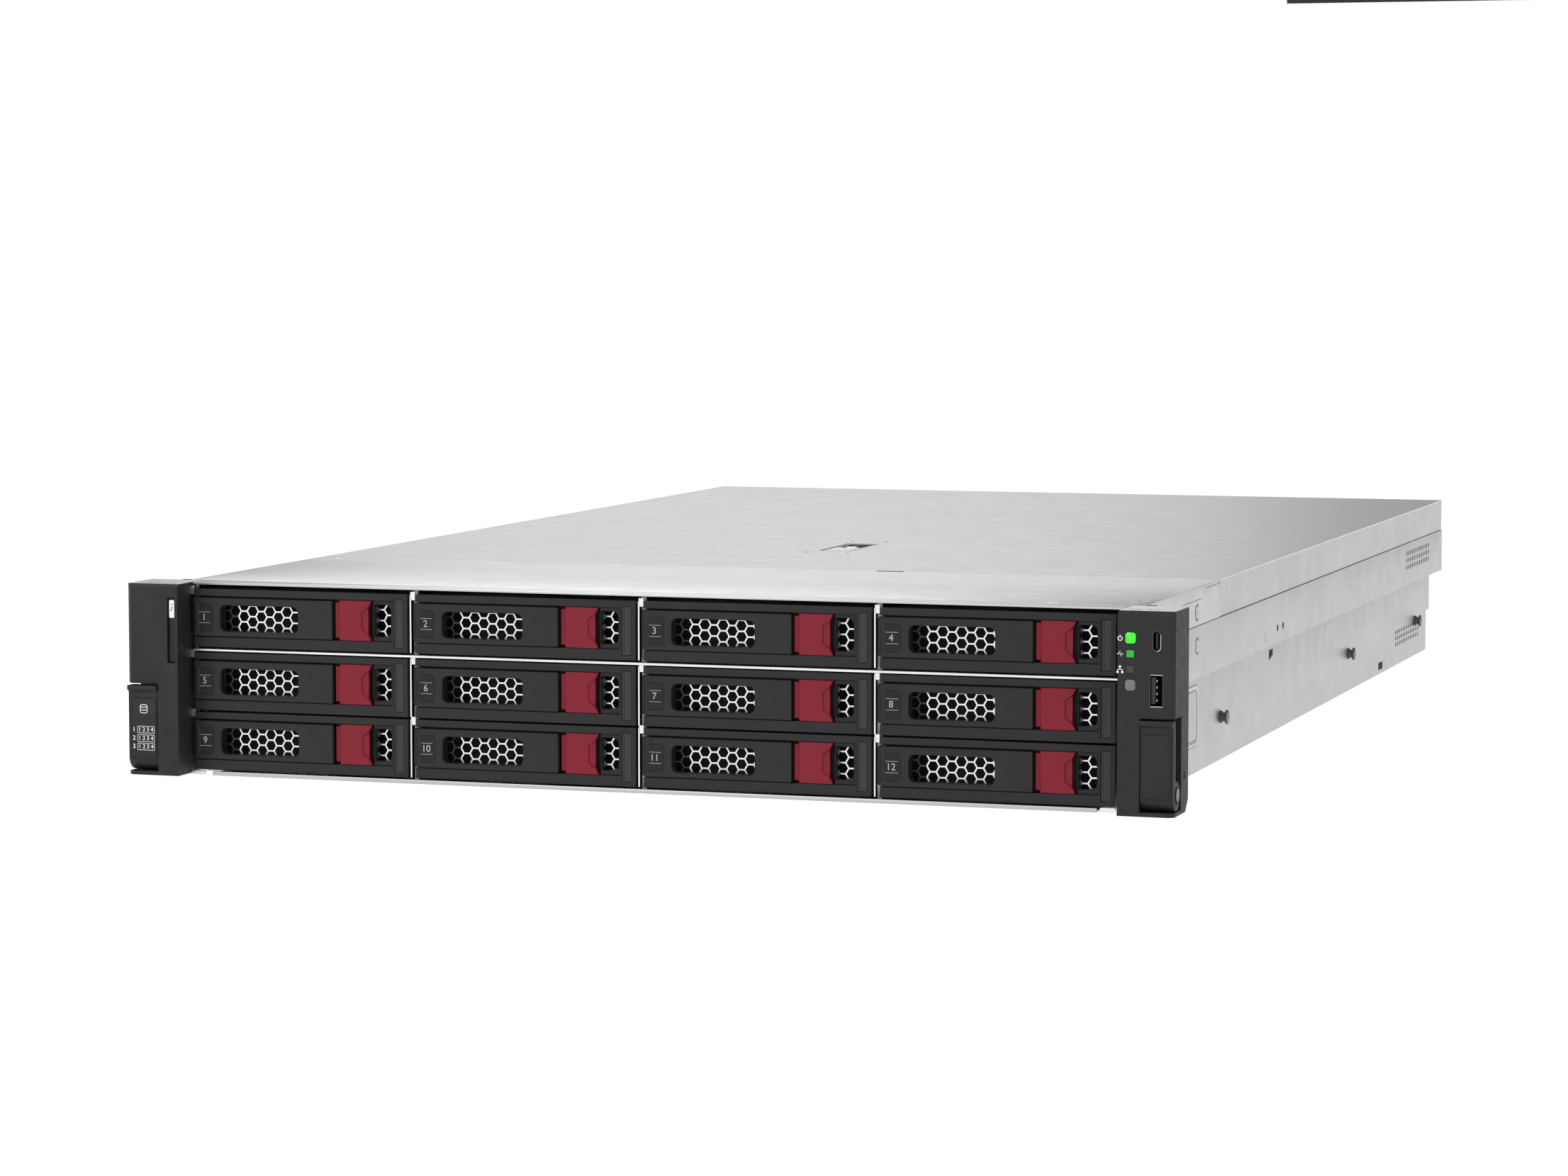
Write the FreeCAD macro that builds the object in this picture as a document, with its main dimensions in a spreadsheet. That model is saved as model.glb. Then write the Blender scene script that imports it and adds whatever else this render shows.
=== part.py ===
import FreeCAD, Part
import Sketcher
import math
import os
import re

# A two-unit rack server with twelve large drives in front, in millimetres.
# X is the width with 0 in the middle, Y runs from the rack plane (Y = 0, the rear face of the
# ears) to the rear, and Z = 0 is the underside of the chassis.

SIZES = {
    # Rack interface and ears
    "rack_width": 482.0,
    "ear_depth": 26.7,
    "ear_base": 0.6,
    "ear_width": 25.0,
    "right_ear_trim": 0.5,
    "ear_bevel": 2.0,
    "ear_foot_bevel": 5.0,
    "ear_plate_thick": 0.8,
    "ear_seat_gap": 0.3,
    # Sheet metal of the chassis
    "body_length": 750.0,
    "body_top": 87.0,
    "ear_gap": 1.0,
    "shoulder_reach": 7.3,
    "shoulder_level": 46.0,
    "sheet": 1.0,
    "skirt_level": 69.9,
    "cover_gap": 0.2,
    "skirt_jog": 1.9,
    "lip_reach": 15.0,
    "lip_inset": 10.0,
    "lip_rise": 1.9,
    "corner_width": 7.5,
    "corner_length": 10.0,
    "corner_height": 23.0,
    "cover_reach": 11.3,
    # Access panel and its latch
    "hood_front": 147.0,
    "hood_gap": 0.5,
    "hood_inset": 0.5,
    "latch_centre": 3.4,
    "latch_width": 15.9,
    "latch_start": 259.0,
    "latch_length": 50.0,
    "latch_depth": 7.0,
    "latch_pin": 1.5,
    "latch_play": 0.4,
    # Drive bays
    "bay_outset": 1.9,
    "bay_inset": 1.5,
    "row_low": 2.2,
    "row_pitch": 27.0,
    "shelf_room": 1.6,
    "divider_offset": 0.5,
    "flange_width": 2.2,
    "flange_front": 8.1,
    "backplane_gap": 2.0,
    "ledge_rise": 2.2,
    "ledge_thick": 1.5,
    "ledge_start": 3.0,
    "shelf_drop": 1.7,
    "shelf_thick": 1.2,
    # Drive carrier, measured from the left edge of its bay
    "frame_start": 2.9,
    "frame_margin": 0.7,
    "frame_height": 26.2,
    "frame_foot": 0.2,
    "frame_front": 13.7,
    "frame_back": 3.0,
    "foot_bar": 4.7,
    "head_bar": 3.2,
    "well_floor": 9.5,
    "web_thick": 1.1,
    "plate_thick": 0.8,
    "side_recess": 1.1,
    "button_gap": 0.4,
    "recess_margin": 1.1,
    "strip_width": 4.3,
    "strip_margin": 2.8,
    "strip_recess": 0.4,
    "strip_low": 2.4,
    "strip_high": 23.9,
    "plate_start": 8.3,
    "plate_overlap": 0.5,
    "plate_foot": 4.6,
    "plate_head": 23.2,
    "rail_thick": 1.8,
    "rail_low": 4.0,
    "rail_height": 18.0,
    "rail_thin": 0.9,
    "drive_spacing": 6.0,
    "drive_height": 26.1,
    "drive_length": 147.0,
    "drive_front": 1.0,
    "drive_start": 5.0,
    "drive_lift": 0.1,
    "running_gap": 0.3,
    # Lever of the carrier
    "lever_front": 14.5,
    "lever_thick": 3.0,
    "lever_gap": 0.8,
    "lever_low": 5.2,
    "lever_height": 17.4,
    "lever_top_bevel": 1.0,
    "lever_foot_bevel": 1.9,
    "pivot_in": 4.5,
    "pivot_back": 11.5,
    "barrel_round": 3.0,
    "pivot_pin": 1.0,
    "pin_reach": 2.0,
    "shaft_play": 0.05,
    "label_start": 3.8,
    "label_end": 12.5,
    "label_low": 7.6,
    "label_height": 12.0,
    "label_bevel": 1.4,
    "label_recess": 0.4,
    "window_start": 16.1,
    "window_margin": 16.7,
    "window_low": 7.6,
    "window_height": 11.7,
    "window_bevel": 2.6,
    # Release button of the carrier
    "button_width": 17.9,
    "step_width": 2.5,
    "button_margin": 18.0,
    "button_low": 5.1,
    "button_height": 17.9,
    "button_back": 11.3,
    "button_bevel": 3.0,
    "button_sink": 0.6,
    "button_notch": 1.6,
    # Honeycomb grille
    "comb_side": 2.8,
    "comb_rib": 0.8,
    "comb_in": 0.8,
    "comb_middle": 14.0,
    "small_comb_in": 1.7,
    # Small window right of the button
    "small_width": 7.9,
    "small_low": 7.0,
    "small_height": 14.4,
    "small_gap": 1.0,
    # Ear levers and their pivots
    "grip_inset": 0.4,
    "grip_width": 14.2,
    "grip_top": 41.1,
    "grip_thick": 4.6,
    "grip_pivot_back": 20.1,
    "grip_pivot_level": 9.0,
    "grip_round": 6.4,
    "grip_pin": 3.0,
    "grip_gap": 0.3,
    "catch_reach": 1.5,
    "catch_height": 2.9,
    "plate_low": 7.8,
    "plate_top": 35.6,
    "plate_rise": 0.3,
    # Information tab
    "tab_wall": 1.7,
    "tab_thick": 3.0,
    "tab_low": 51.9,
    "tab_height": 28.6,
    "tab_inset": 1.2,
    "tab_length": 72.0,
    "tab_gap": 0.3,
    "notch_length": 62.0,
    # Buttons, lamps and ports of the right ear
    "control_in": 5.6,
    "power_level": 75.7,
    "control_width": 4.5,
    "unit_level": 55.9,
    "control_height": 4.7,
    "control_depth": 6.0,
    "control_gap": 0.15,
    "control_bevel": 0.8,
    "control_proud": 0.5,
    "control_travel_room": 1.6,
    "lamp_health": 69.1,
    "lamp_network": 62.5,
    "lamp_width": 3.4,
    "lamp_height": 3.1,
    "lamp_depth": 2.0,
    "port_outset": 7.8,
    "service_low": 70.3,
    "service_height": 8.8,
    "service_width": 3.7,
    "service_depth": 8.0,
    "service_tongue": 0.8,
    "usb_low": 47.2,
    "usb_height": 13.2,
    "usb_width": 5.7,
    "usb_depth": 14.0,
    "usb_bevel": 0.5,
    "usb_tongue": 1.8,
    "service_bevel": 1.5,
    "port_inset": 1.0,
    "tongue_in": 1.0,
    # Rail studs
    "stud_level": 20.0,
    "stud_first": 182.4,
    "stud_spacing": 205.0,
    "stud_rear": 46.7,
    "stud_shank": 2.1,
    "stud_head": 3.3,
    "stud_reach": 3.5,
    "stud_cap": 1.0,
    "stud_collar": 2.9,
    "collar_reach": 0.8,
    # Fan row
    "fan_row_room": 10.0,
    "fan_start": 212.0,
    "fan_depth": 50.0,
    "fan_gap": 1.0,
    "fan_height": 75.0,
    "fan_wall": 3.5,
    "hub_round": 14.0,
    "hub_length": 24.0,
    "hub_inset": 6.0,
    "tip_gap": 2.6,
    "blade_root_rise": 4.0,
    "blade_tip_rise": 8.0,
    "shaft_round": 2.0,
    "blade_thick": 1.6,
    "motor_length": 14.0,
    "arm_width": 4.0,
    "arm_depth": 5.0,
    "stator_gap": 0.1,
    # Board, processors and memory
    "board_gap": 3.0,
    "board_thick": 1.6,
    "board_front_gap": 28.0,
    "waist_gap": 8.0,
    "board_rear_gap": 5.0,
    "board_side_gap": 4.0,
    "notch_gap": 5.8,
    "standoff_round": 4.0,
    "standoff_in": 8.0,
    "processor_in": 45.0,
    "socket_height": 5.0,
    "heatsink_width": 78.0,
    "heatsink_length": 105.0,
    "heatsink_height": 62.0,
    "heatsink_base": 5.0,
    "fin_thick": 0.8,
    "memory_first": 45.0,
    "memory_margin": 13.7,
    "memory_length": 133.3,
    "memory_height": 31.0,
    "memory_thick": 1.4,
    "slot_height": 6.0,
    "memory_in": 30.0,
    "backplane_thick": 2.0,
    "backplane_low": 4.0,
    "backplane_top": 82.0,
    # Power supplies in the rear
    "supply_width": 73.5,
    "supply_height": 39.5,
    "supply_room": 5.0,
    "supply_gap": 0.3,
    "supply_start": 560.0,
    "supply_proud": 5.5,
    "handle_reach": 20.0,
    "handle_bar": 5.0,
    "handle_width": 8.0,
    "handle_in": 9.0,
    "handle_low": 6.0,
    "handle_height": 28.0,
    "inlet_width": 27.0,
    "inlet_height": 20.0,
    "inlet_depth": 15.0,
    "inlet_in": 8.0,
    "inlet_bevel": 5.0,
    # Expansion slots and rear ports
    "slot_pitch": 20.3,
    "slot_low": 20.5,
    "bank_left_inset": 69.0,
    "slot_frame": 19.8,
    "bracket_overlap": 2.0,
    "bank_gap": 14.0,
    "bank_inset": 9.0,
    "upper_bank_low": 43.0,
    "riser_start": 583.0,
    "riser_top": 83.0,
    "jack_gap": 3.4,
    "jack_height": 13.2,
    "jack_depth": 21.0,
    "jack_room": 13.0,
    "jack_inset": 10.0,
    "jack_wall": 1.8,
    "jack_mouth": 15.0,
    "video_in": 12.0,
    "usb_pair_in": 19.0,
    "socket_room": 46.0,
}

COLUMNS = 4
FANS = 6
BLADES = 5
STICKS = 6
FINS = 12
JACKS = 5
ROW_LEVELS = ("row_low", "row_middle", "row_high")
ROW_NAMES = ("low", "middle", "high")

# Places and widths that follow from the driving dimensions
DERIVED = {
    "ear_inner_left": "0.5 * rack_width - ear_width",
    "ear_inner_right": "ear_inner_left + right_ear_trim",
    "tray_half_width": "ear_inner_left - ear_gap",
    "shoulder_half_width": "tray_half_width + shoulder_reach",
    "lip_half_width": "tray_half_width - lip_inset",
    "tab_start": "ear_inner_left + tab_wall",
    "control_centre": "ear_inner_right + control_in",
    "port_centre": "0.5 * rack_width - port_outset",
    "stud_third": "body_length - stud_rear",
    "stud_second": "stud_third - stud_spacing",
    "array_left": "tray_half_width + bay_outset",
    "column_pitch": "(2 * tray_half_width + bay_outset - bay_inset) / %d" % COLUMNS,
    "row_middle": "row_low + row_pitch",
    "row_high": "row_middle + row_pitch + shelf_room",
    "shelf_level": "row_high - shelf_drop",
    "cage_length": "drive_front + drive_length + backplane_gap",
    "frame_end": "column_pitch - frame_margin",
    "strip_end": "column_pitch - strip_margin",
    "strip_start": "strip_end - strip_width",
    "plate_end": "strip_start + plate_overlap",
    "drive_width": "column_pitch - drive_spacing",
    "button_end": "column_pitch - button_margin",
    "button_start": "button_end - button_width",
    "button_step": "button_start + step_width",
    "well_end": "button_end + button_gap",
    "small_start": "button_end + small_gap",
    "small_end": "small_start + small_width",
    "recess_end": "small_end + recess_margin",
    "lever_end": "button_start - lever_gap",
    "window_end": "lever_end - window_margin",
    "comb_start": "window_start + comb_in",
    "small_comb_start": "small_start + small_comb_in",
    "fan_pitch": "(2 * tray_half_width - fan_row_room) / %d" % FANS,
    "fan_width": "fan_pitch - fan_gap",
    "fan_bore": "0.5 * fan_width - fan_wall",
    "fan_level": "sheet + 0.5 * fan_height",
    "blade_tip": "fan_bore - tip_gap",
    "board_start": "fan_start + fan_depth + board_front_gap",
    "board_waist": "supply_start - waist_gap",
    "board_end": "body_length - board_rear_gap",
    "board_half_width": "tray_half_width - board_side_gap",
    "processor_offset": "0.5 * board_half_width",
    "processor_start": "board_start + processor_in",
    "memory_start": "board_start + memory_in",
    "memory_pitch": "(processor_offset - memory_first - memory_margin) / %d" % STICKS,
    "supply_length": "body_length - supply_start - supply_room",
    "slot_span": "(2 * tray_half_width - bank_inset - bank_left_inset - 2 * bank_gap) / 3",
    "riser_length": "body_length - sheet * 2 - riser_start",
    "jack_pitch": "(slot_span - jack_room) / %d" % JACKS,
    "jack_width": "jack_pitch - jack_gap",
    "jack_first": "tray_half_width - bank_inset - jack_inset",
    "video_start": "tray_half_width - bank_inset - slot_span * 2 - bank_gap + video_in",
    "usb_pair_start": "tray_half_width - bank_inset - slot_span - bank_gap - usb_pair_in - socket_width",
    "socket_width": "0.5 * (slot_span - socket_room)",
}

doc = FreeCAD.newDocument("rack_server")
sheet = doc.addObject("Spreadsheet::Sheet", "Sizes")
for row, (alias, number) in enumerate(SIZES.items(), start=1):
    sheet.set("A%d" % row, alias)
    sheet.set("B%d" % row, str(number))
    sheet.setAlias("B%d" % row, alias)
doc.recompute()

WORD = re.compile(r"[a-z][a-z_]+")
NODES = []


def size(alias):
    """Read one driving dimension from the sheet."""
    return float(sheet.get(alias))


def spell(word):
    """Write a word out in cells of the sheet."""
    name = word.group(0)
    if name in DERIVED:
        return "(" + WORD.sub(spell, DERIVED[name]) + ")"
    return "Sizes." + name


def bind(item, path, text):
    """Tie one property to an expression written in sizes and in places derived from them."""
    item.setExpression(path, WORD.sub(spell, text))


def place(item, x="0", y="0", z="0"):
    """Tie the place of an object to the sheet."""
    for axis, text in (("x", x), ("y", y), ("z", z)):
        if text != "0":
            bind(item, "Placement.Base." + axis, text)
    return item


def box(name, x, y, z):
    """Make a box between two expressions on each axis."""
    made = doc.addObject("Part::Box", name)
    for path, (low, high) in (("Length", x), ("Width", y), ("Height", z)):
        bind(made, path, "(%s) - (%s)" % (high, low))
    return place(made, x[0], y[0], z[0])


def cylinder(name, radius, length, x, y, z, axis="Z"):
    """Make a cylinder that starts at a point and runs along one axis."""
    made = doc.addObject("Part::Cylinder", name)
    bind(made, "Radius", radius)
    bind(made, "Height", length)
    turns = {"X": (0, 1, 0), "Y": (-1, 0, 0)}
    if axis in turns:
        made.Placement.Rotation = FreeCAD.Rotation(FreeCAD.Vector(*turns[axis]), 90)
    return place(made, x, y, z)


def fuse(name, parts):
    """Join shapes into one."""
    made = doc.addObject("Part::MultiFuse", name)
    made.Shapes = parts
    made.Refine = True
    return made


def cut(name, base, tools):
    """Take one or more shapes out of another."""
    made = doc.addObject("Part::Cut", name)
    made.Base = base
    made.Tool = tools[0] if len(tools) == 1 else fuse(name + "_tools", tools)
    made.Refine = True
    return made


def group(name, parts):
    """Hold separate solids together as one piece."""
    made = doc.addObject("Part::Compound", name)
    made.Links = parts
    return made


def copy_of(name, source, x="0", y="0", z="0"):
    """Repeat a piece at another place."""
    return place(group(name, [source]), x, y, z)


def node(label, item):
    """Name a sub-part, which is written to a file of that name."""
    item.Label = label
    NODES.append(item)
    return item


def body(name):
    return doc.addObject("PartDesign::Body", name)


def origin_plane(owner, plane):
    for feature in owner.Origin.OriginFeatures:
        if feature.Role == plane + "_Plane":
            return feature
    raise RuntimeError("no plane " + plane)


def axis_of(owner, axis):
    for feature in owner.Origin.OriginFeatures:
        if feature.Role == axis + "_Axis":
            return feature
    raise RuntimeError("no axis " + axis)


def along_axis(edge, index):
    """True if a straight edge runs along one axis."""
    start, end = edge.Vertexes[0].Point, edge.Vertexes[-1].Point
    return all(abs(start[i] - end[i]) < 0.01 for i in range(3) if i != index)


def outline(made, points):
    """Draw a closed outline whose corners are tied to the sheet."""
    first = made.GeometryCount
    count = len(points)
    ring = [FreeCAD.Vector(math.cos(2 * math.pi * i / count), math.sin(2 * math.pi * i / count), 0)
            for i in range(count)]
    for i in range(count):
        made.addGeometry(Part.LineSegment(ring[i] * 10, ring[(i + 1) % count] * 10), False)
    for i in range(count):
        after = first + (i + 1) % count
        made.addConstraint(Sketcher.Constraint("Coincident", first + i, 2, after, 1))
    for i, corner in enumerate(points):
        for kind, text in zip(("DistanceX", "DistanceY"), corner):
            index = made.addConstraint(Sketcher.Constraint(kind, -1, 1, first + i, 1, 5.0))
            bind(made, "Constraints[%d]" % index, text)


def sketch(owner, name, plane, level, loops):
    """Draw closed outlines on a plane of the body, lifted to a level along its normal."""
    made = owner.newObject("Sketcher::SketchObject", name)
    made.AttachmentSupport = [(origin_plane(owner, plane), "")]
    made.MapMode = "FlatFace"
    bind(made, "AttachmentOffset.Base.z", level)
    for points in loops:
        outline(made, points)
    return made


def pad(owner, name, plane, span, loops):
    """Raise outlines between two levels. On the XZ plane the normal points to the front."""
    low, high = span
    level = "-(%s)" % high if plane == "XZ" else low
    made = owner.newObject("PartDesign::Pad", name)
    made.Profile = sketch(owner, name + "_outline", plane, level, loops)
    bind(made, "Length", "(%s) - (%s)" % (high, low))
    return made


def pocket(owner, name, plane, span, loops):
    """Cut outlines out between two levels, and check that something was removed."""
    doc.recompute()
    before = owner.Shape.Volume
    low, high = span
    level = "-(%s)" % low if plane == "XZ" else high
    made = owner.newObject("PartDesign::Pocket", name)
    made.Profile = sketch(owner, name + "_outline", plane, level, loops)
    bind(made, "Length", "(%s) - (%s)" % (high, low))
    doc.recompute()
    if owner.Shape.Volume > before - 0.01:
        raise RuntimeError(name + " removed nothing")
    return made


def circle(made, x, y, radius):
    """Draw a circle whose centre and radius are tied to the sheet."""
    index = made.addGeometry(Part.Circle(FreeCAD.Vector(1, 1, 0), FreeCAD.Vector(0, 0, 1), 2.0), False)
    constraint = made.addConstraint(Sketcher.Constraint("Radius", index, 2.0))
    bind(made, "Constraints[%d]" % constraint, radius)
    for kind, text in (("DistanceX", x), ("DistanceY", y)):
        constraint = made.addConstraint(Sketcher.Constraint(kind, -1, 1, index, 3, 1.0))
        bind(made, "Constraints[%d]" % constraint, text)


def round_pad(owner, name, plane, span, centre, radius):
    """Raise a round bar between two levels."""
    made = pad(owner, name, plane, span, [])
    circle(made.Profile[0], centre[0], centre[1], radius)
    return made


def round_pocket(owner, name, plane, span, centre, radius):
    """Bore a round hole between two levels."""
    doc.recompute()
    before = owner.Shape.Volume
    low, high = span
    level_text = "-(%s)" % low if plane == "XZ" else high
    made = owner.newObject("PartDesign::Pocket", name)
    profile = sketch(owner, name + "_outline", plane, level_text, [])
    circle(profile, centre[0], centre[1], radius)
    made.Profile = profile
    bind(made, "Length", "(%s) - (%s)" % (high, low))
    doc.recompute()
    if owner.Shape.Volume > before - 0.01:
        raise RuntimeError(name + " removed nothing")
    return made


def rectangle(x, y):
    return [(x[0], y[0]), (x[1], y[0]), (x[1], y[1]), (x[0], y[1])]


def bevelled(x, y, bevel, corners="abcd"):
    """A rectangle with cut corners: a and b below, c and d above, anticlockwise."""
    low_x, high_x = x
    low_y, high_y = y
    rows = {
        "a": [(low_x, low_y + " + " + bevel), (low_x + " + " + bevel, low_y)],
        "b": [(high_x + " - " + bevel, low_y), (high_x, low_y + " + " + bevel)],
        "c": [(high_x, high_y + " - " + bevel), (high_x + " - " + bevel, high_y)],
        "d": [(low_x + " + " + bevel, high_y), (low_x, high_y + " - " + bevel)],
    }
    square = {"a": (low_x, low_y), "b": (high_x, low_y), "c": (high_x, high_y), "d": (low_x, high_y)}
    points = []
    for corner in "abcd":
        points += rows[corner] if corner in corners else [square[corner]]
    return points


def repeat(owner, name, feature, axis, spacing, count):
    """Repeat a feature in a row along an axis of its own sketch."""
    made = owner.newObject("PartDesign::LinearPattern", name)
    made.Originals = [feature]
    made.Direction = (feature.Profile[0], [axis])
    made.Occurrences = count
    bind(made, "Length", "(%s) * %d" % (spacing, count - 1))
    owner.Tip = made
    return made


def edges_where(shape, test):
    """List the names of the edges whose middle point passes a test."""
    names = []
    for index, edge in enumerate(shape.Edges, start=1):
        middle = edge.valueAt((edge.FirstParameter + edge.LastParameter) / 2)
        if test(edge, middle):
            names.append("Edge%d" % index)
    return names


def chamfer(owner, name, width, test):
    """Bevel the edges of a body that pass a test."""
    doc.recompute()
    tip = owner.Tip
    made = owner.newObject("PartDesign::Chamfer", name)
    made.Base = (tip, edges_where(tip.Shape, test))
    bind(made, "Size", width)
    return made


def fillet(owner, name, radius, test):
    """Round the edges of a body that pass a test."""
    doc.recompute()
    tip = owner.Tip
    made = owner.newObject("PartDesign::Fillet", name)
    made.Base = (tip, edges_where(tip.Shape, test))
    bind(made, "Radius", radius)
    return made


# Places that several pieces share


def mirrored(side, low, high):
    """A span across, on the left or right side of the rack."""
    if side == "left":
        return ("-(%s)" % high, "-(%s)" % low)
    return (low, high)


def board_top():
    return "sheet + board_gap + board_thick"


def supply_left(index):
    """Left side of a power supply, counted from the left wall."""
    return "sheet + supply_gap - tray_half_width + (supply_width + supply_gap * 2 + sheet) * %d" % index


def supply_bay_end():
    return "(" + supply_left(1) + " + supply_width + supply_gap)"


def supply_bay_top():
    return "(sheet + supply_height + supply_gap * 2)"


def bank_start(index):
    """Left side of a bank of expansion slots, counted from the right wall."""
    return "(tray_half_width - bank_inset - slot_span - (slot_span + bank_gap) * %d)" % index


def bank_base(index):
    return "upper_bank_low" if index == 2 else "slot_low"


def bank_rows(index):
    return 2 if index == 2 else 3


def cell(start, column=0):
    """A place across the front, measured from the left edge of a bay."""
    return "(%s) - array_left + column_pitch * %d" % (start, column)


def level(rise, row="row_low"):
    """A height in a bay, measured from the foot of its row."""
    return "(%s) + %s" % (rise, row)


def board_notch():
    """Right side of the board's cut-out for the power supplies."""
    return "(" + supply_bay_end() + " + sheet + notch_gap)"


def jack_left(index):
    return "(jack_first - jack_width - jack_pitch * %d)" % index


# Chassis


def tray():
    """The folded tray with its front lip and the cut-back rear corners."""
    made = body("tray_body")
    right = [
        ("tray_half_width", "0 * sheet"),
        ("tray_half_width", "shoulder_level"),
        ("tray_half_width - sheet", "shoulder_level"),
        ("tray_half_width - sheet", "sheet"),
    ]
    left = [("-(%s)" % x, z) for x, z in reversed(right)]
    pad(made, "folded_tray", "XZ", ("0 * sheet", "body_length"), [right + left])
    lip_width = ("-lip_half_width", "lip_half_width")
    pad(made, "front_lip", "XY", ("0 * sheet", "sheet"), [rectangle(lip_width, ("-lip_reach", "sheet"))])
    hem = rectangle(lip_width, ("-lip_reach", "sheet - lip_reach"))
    pad(made, "lip_hem", "XY", ("0 * sheet", "lip_rise"), [hem])
    corners = []
    for side in ("left", "right"):
        across = mirrored(side, "tray_half_width - corner_width", "tray_half_width + sheet")
        corners.append(rectangle(across, ("body_length - corner_length", "body_length + sheet")))
    pocket(made, "rear_corners", "XY", ("-sheet", "corner_height"), corners)
    return made


def board_posts():
    """The posts pressed into the tray, on which the system board rests."""
    wide = "(board_half_width - standoff_in)"
    places = []
    for across in ("-" + wide, wide):
        for along in ("board_start + standoff_in", "board_waist - standoff_in"):
            places.append((across, along))
    for across in (board_notch() + " + standoff_in", wide):
        places.append((across, "board_end - corner_length - standoff_in"))
    return [
        cylinder("board_post_%d" % (index + 1), "standoff_round", "board_gap", across, along, "sheet")
        for index, (across, along) in enumerate(places)
    ]


def upper_wall(side):
    """A side wall above the tray: a shoulder, a step in under the cover skirts, and a notch in front."""
    made = body(side + "_wall_body")
    jog = "skirt_level - cover_gap"
    inner = "shoulder_half_width - skirt_jog"
    profile = [
        ("tray_half_width - sheet", "shoulder_level"),
        ("shoulder_half_width", "shoulder_level"),
        ("shoulder_half_width", jog),
        (inner, jog),
        (inner, wall_top()),
        (inner + " - sheet", wall_top()),
        (inner + " - sheet", jog + " - sheet"),
        ("shoulder_half_width - sheet", jog + " - sheet"),
        ("shoulder_half_width - sheet", "shoulder_level + sheet"),
        ("tray_half_width - sheet", "shoulder_level + sheet"),
    ]
    if side == "left":
        profile = [("-(%s)" % x, z) for x, z in reversed(profile)]
    pad(made, side + "_wall", "XZ", ("0 * sheet", "body_length"), [profile])
    # The information tab runs inside the left wall, and the right one is its mirror
    across = mirrored(side, "tab_start + sheet", "shoulder_half_width - sheet")
    notch = rectangle(across, ("-sheet", "notch_length"))
    pocket(made, side + "_notch", "XY", (jog + " - sheet * 1.5", "body_top"), [notch])
    return made


def wall_top():
    return "(body_top - sheet - cover_gap)"


def rear_wall():
    """The rear wall between the side walls, with the mouths of the supplies, slots and ports."""
    made = body("rear_wall_body")
    inner = "shoulder_half_width - skirt_jog - sheet"
    corner = "tray_half_width - corner_width"
    half = [
        (corner, "sheet"),
        (corner, "corner_height"),
        ("tray_half_width - sheet", "corner_height"),
        ("tray_half_width - sheet", "shoulder_level + sheet"),
        (inner, "shoulder_level + sheet"),
        (inner, wall_top()),
    ]
    left = [("-(%s)" % x, z) for x, z in reversed(half)]
    pad(made, "rear_sheet", "XZ", ("body_length - sheet", "body_length"), [half + left])
    bay = rectangle(("-(%s) - sheet" % corner, supply_bay_end()), ("0 * sheet", supply_bay_top()))
    side = rectangle(("-tray_half_width", "-(%s)" % corner), ("0 * sheet", supply_bay_top()))
    pocket(made, "supply_mouth", "XZ", ("body_length - sheet * 2", "body_length + sheet"), [bay])
    pocket(made, "supply_mouth_side", "XZ", ("body_length - sheet * 2", "body_length + sheet"), [side])
    holes = []
    for bank in range(3):
        start, base = bank_start(bank), bank_base(bank)
        top = "%s + slot_pitch * %d + slot_frame" % (base, bank_rows(bank) - 1)
        across = (start + " + bracket_overlap", start + " + slot_span - bracket_overlap")
        holes.append(rectangle(across, (base + " + bracket_overlap", top + " - bracket_overlap")))
    mouths = (board_top() + " - supply_gap", board_top() + " + jack_height + supply_gap")
    row = (jack_left(JACKS - 1) + " - supply_gap", jack_left(0) + " + jack_width + supply_gap")
    holes.append(rectangle(row, mouths))
    for start in ("video_start", "usb_pair_start"):
        across = (start + " - supply_gap", start + " + socket_width + supply_gap")
        holes.append(rectangle(across, mouths))
    pocket(made, "rear_openings", "XZ", ("body_length - sheet * 2", "body_length + sheet"), holes)
    return made


def supply_bay():
    """The bay for the power supplies: a deck on two walls."""
    made = body("supply_bay_body")
    divider = supply_left(1) + " - supply_gap"
    deck = [
        ("sheet - tray_half_width", supply_bay_top() + " + sheet"),
        ("sheet - tray_half_width", supply_bay_top()),
        (divider + " - sheet", supply_bay_top()),
        (divider + " - sheet", "sheet"),
        (divider, "sheet"),
        (divider, supply_bay_top()),
        (supply_bay_end(), supply_bay_top()),
        (supply_bay_end(), "sheet"),
        (supply_bay_end() + " + sheet", "sheet"),
        (supply_bay_end() + " + sheet", supply_bay_top() + " + sheet"),
    ]
    pad(made, "supply_deck", "XZ", ("supply_start", "body_length - sheet"), [deck])
    return made


def chassis():
    """The riveted sheets of the chassis and the posts of the board."""
    sheets = [tray(), upper_wall("left"), upper_wall("right"), rear_wall(), supply_bay()]
    node("chassis", group("chassis_set", sheets + board_posts()))


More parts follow.
